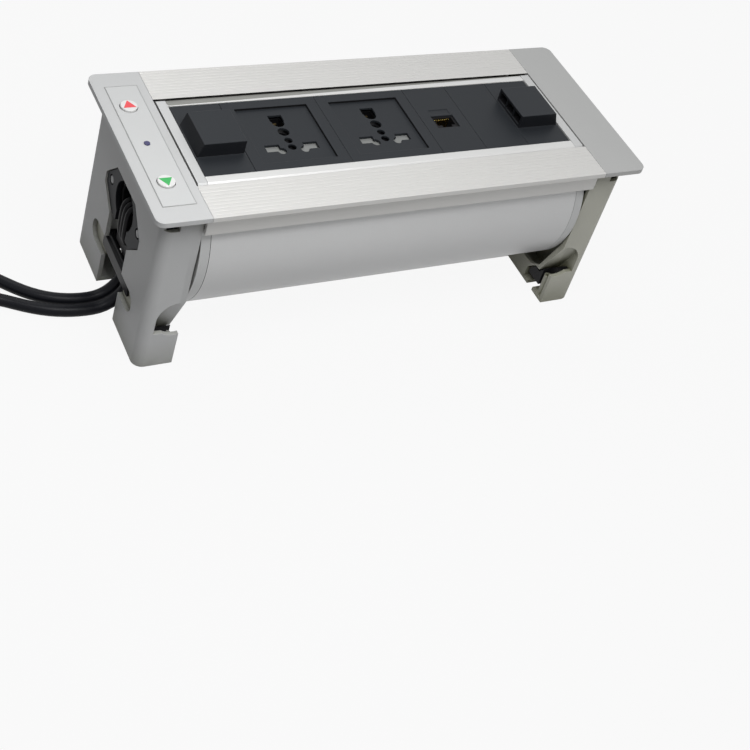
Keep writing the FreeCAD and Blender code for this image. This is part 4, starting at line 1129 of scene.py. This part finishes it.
@dataclass
class Cord:
    """A round cord: its route in millimetres, the coil that puts its length away, its relief and its ties."""

    name: str
    route: tuple[Point, ...]
    coil: Coil
    length: float
    plug: str
    far_end: str
    others: tuple[str, ...] = ()
    ties: tuple[float, ...] = ()
    diameter: float = 7 * MM

    def build(self) -> None:
        lead = [Vector(point) for point in self.route]
        turns = self.coil.points(lead[-1], (lead[-1] - lead[-2]).normalized())
        curve = self.curve(lead + turns)
        bare = bpy.data.objects.new(self.name + "_line", curve)
        line = [vertex.co.copy() for vertex in bpy.data.meshes.new_from_object(bare).vertices]
        bpy.data.objects.remove(bare)
        curve.bevel_depth = self.diameter / 2
        curve.bevel_resolution = 4
        curve.use_fill_caps = True
        curve.materials.append(CORD.material())
        piece = put(self.name + "_cord", curve)
        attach(piece, "frame")
        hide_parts(self.name + "_lead", self.name + "_coil")
        relief = Relief().thread(self.name + "_relief", line)
        spans = [[turn[axis] for turn in turns] for axis in (0, 1)]
        centre = Vector((min(span) + max(span)) / 2 * MM for span in spans)
        tie = Tie(self.diameter / 2)
        ties = [
            tie.close(f"{self.name}_tie_{index}", angle, centre, line)
            for index, angle in enumerate(self.ties, start=1)
        ]
        LOG.info("laid %s cord with %d points", self.name, len(lead) + len(turns))

    def curve(self, points: list[Vector]) -> bpy.types.Curve:
        """Draw a smooth curve, without thickness, by its control points in millimetres."""
        curve = bpy.data.curves.new(self.name + "_cord", "CURVE")
        curve.dimensions = "3D"
        spline = curve.splines.new("NURBS")
        spline.points.add(len(points) - 1)
        for spot, point in zip(spline.points, points):
            spot.co = (*(point * MM), 1.0)
        spline.order_u = 3
        spline.use_endpoint_u = True
        curve.resolution_u = 5
        return curve


@dataclass
class Cords:
    """Both cords, their plugs and the routes they take from the gland over the floor."""

    power: tuple[Point, ...] = (
        (-131, 2, 45), (-131, 2, 18), (-143, 0, 3.5), (-162, -0.5, 3.5), (-180.5, 6.5, 3.5),
        (-198, 23.5, 3.5), (-226, 53.5, 3.5), (-260, 62.5, 3.5), (-300, 63.5, 3.5), (-345, 60.5, 3.5),
        (-390, 56, 3.5),
    )
    power_length: float = 1.90
    power_ties: Pair = (80.0, 260.0)
    data: tuple[Point, ...] = (
        (-131, -6.5, 45), (-131, -6.5, 18), (-143, -8.4, 3.5), (-162, -9.0, 3.5), (-181, -3.8, 3.5),
        (-203, 10, 3.5), (-242, 18.8, 11.2), (-284, 18, 11.2),
    )
    data_length: float = 1.67
    data_ties: Pair = (110.0, 250.0)
    layer: float = 7.7
    over_coil: float = 15.0
    plug_edge: float = 1.2 * MM
    small_plug_edge: float = 0.4 * MM

    def build(self) -> None:
        """Lay both cords and dress their plugs."""
        plug = Softened("power_plug", PLUG, "frame", "plug_black", self.plug_edge, 3).build().name
        small = Softened("data_plug", PLUG, "frame", "plug_black", self.small_plug_edge).build().name
        dress(BRASS, "power_plug_pins")
        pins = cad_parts["power_plug_pins"].name
        up = Coil(self.layer, over=self.over_coil)
        down = Coil(-self.layer)
        Cord("power", self.power, up, self.power_length, plug, "plug", (pins,), self.power_ties).build()
        Cord("data", self.data, down, self.data_length, small, "plug", (), self.data_ties).build()


@dataclass(frozen=True)
class Lamp:
    """A square soft lamp: where it hangs, the point it faces, its side in metres and its power in watts."""

    name: str
    place: Point
    aim: Point
    size: float
    power: float

    def hang(self) -> None:
        """Put the lamp in the scene."""
        light = bpy.data.lights.new(self.name, "AREA")
        light.size = self.size
        light.energy = self.power
        lamp = put(self.name, light)
        lamp.location = self.place
        way = Vector(self.aim) - Vector(self.place)
        lamp.rotation_euler = way.to_track_quat("-Z", "Y").to_euler()


@dataclass
class Studio:
    """Floor, world, lights and the camera that took the upper view."""

    place: Point = (-0.40006, -0.55864, 0.60122)
    turn: Point = (52.0011, -15.2599, -26.4668)
    lens: float = 72.3806
    shift: Pair = (-0.060787, -0.279524)
    sensor: float = 36.0
    sight: float = 50.0
    floor_size: float = 12.0
    floor_albedo: float = 0.32
    floor_roughness: float = 0.9
    floor_glow: float = 0.92
    world_colour: Colour = (0.97, 0.98, 1.0)
    world_strength: float = 0.22
    lamps: tuple[Lamp, ...] = (
        Lamp("key", (0.15, -0.60, 1.60), (0, 0, 0.05), 0.9, 6.2),
        Lamp("back", (-0.1, 0.90, 1.40), (0, 0, 0.05), 0.9, 6.4),
        Lamp("right", (1.50, -0.10, 0.70), (0, 0, 0.05), 0.8, 0.6),
        Lamp("front", (0.75, -1.35, 0.75), (0, 0, 0.05), 0.8, 1.9),
        Lamp("near", (-0.15, -0.22, 0.50), (-0.17, -0.08, 0.10), 0.25, 1.5),
    )

    def build(self) -> None:
        """Set up everything that isn't the object."""
        self.floor()
        self.world()
        for lamp in self.lamps:
            lamp.hang()
        self.camera()

    def show_white(self, graph: Graph, shader: Socket, kind: str, share: float, output: str) -> None:
        """Show plain white to the rays from the camera, off metal and through clear pieces.

        Args:
            graph: the tree of the floor's material or the world.
            shader: what lights the object.
            kind: the node that gives the white.
            share: how much of the white those rays get.
            output: the tree's output node.
        """
        path = graph.add("LightPath").outputs
        mirrored = graph.math("MAXIMUM", path["Is Glossy Ray"], path["Is Transmission Ray"])
        direct = graph.math("MAXIMUM", path["Is Camera Ray"], mirrored)
        white = graph.add(kind, Color=(1.0, 1.0, 1.0, 1.0), Strength=1.0).outputs[0]
        mix = graph.add("MixShader")
        for source, target in zip((graph.math("MULTIPLY", direct, share), shader, white), mix.inputs):
            graph.join(source, target)
        graph.join(mix.outputs[0], graph.tree.nodes[output].inputs["Surface"])

    def floor(self) -> None:
        """Lay a pale floor that the camera sees as near white and that keeps the object's shadow."""
        shape = bmesh.new()
        bmesh.ops.create_grid(shape, x_segments=1, y_segments=1, size=self.floor_size / 2)
        mesh = bpy.data.meshes.new("floor")
        shape.to_mesh(mesh)
        shape.free()
        material = bpy.data.materials.new("floor_white")
        material.use_nodes = True
        shader = material.node_tree.nodes["Principled BSDF"]
        shader.inputs["Base Color"].default_value = (*(self.floor_albedo,) * 3, 1.0)
        shader.inputs["Roughness"].default_value = self.floor_roughness
        graph = Graph(material.node_tree)
        self.show_white(graph, shader.outputs[0], "Emission", self.floor_glow, "Material Output")
        mesh.materials.append(material)
        piece = put("floor", mesh)

    def world(self) -> None:
        """Light the scene evenly, with a white ground for the camera and for reflections."""
        world = bpy.data.worlds.new("studio")
        bpy.context.scene.world = world
        world.use_nodes = True
        even = world.node_tree.nodes["Background"]
        even.inputs["Color"].default_value = (*self.world_colour, 1.0)
        even.inputs["Strength"].default_value = self.world_strength
        self.show_white(Graph(world.node_tree), even.outputs[0], "Background", 1.0, "World Output")

    def camera(self) -> None:
        """Set the camera at the upper view's place, angle and shift."""
        data = bpy.data.cameras.new("camera")
        data.sensor_width = self.sensor
        data.sensor_fit = "HORIZONTAL"
        data.lens = self.lens
        data.shift_x, data.shift_y = self.shift
        data.clip_end = self.sight
        camera = put("camera", data)
        camera.location = self.place
        camera.rotation_euler = tuple(math.radians(angle) for angle in self.turn)
        bpy.context.scene.camera = camera


def main() -> None:
    """Build each sub-assembly in order."""
    logging.basicConfig(level=logging.INFO, format="%(message)s")
    bpy.context.scene.view_settings.view_transform = "Standard"
    Studio().build()
    Cords().build()
    Panel().build()
    Controls().build()
    Drum().build()
    Drive().build()


if __name__ == "__main__":
    main()
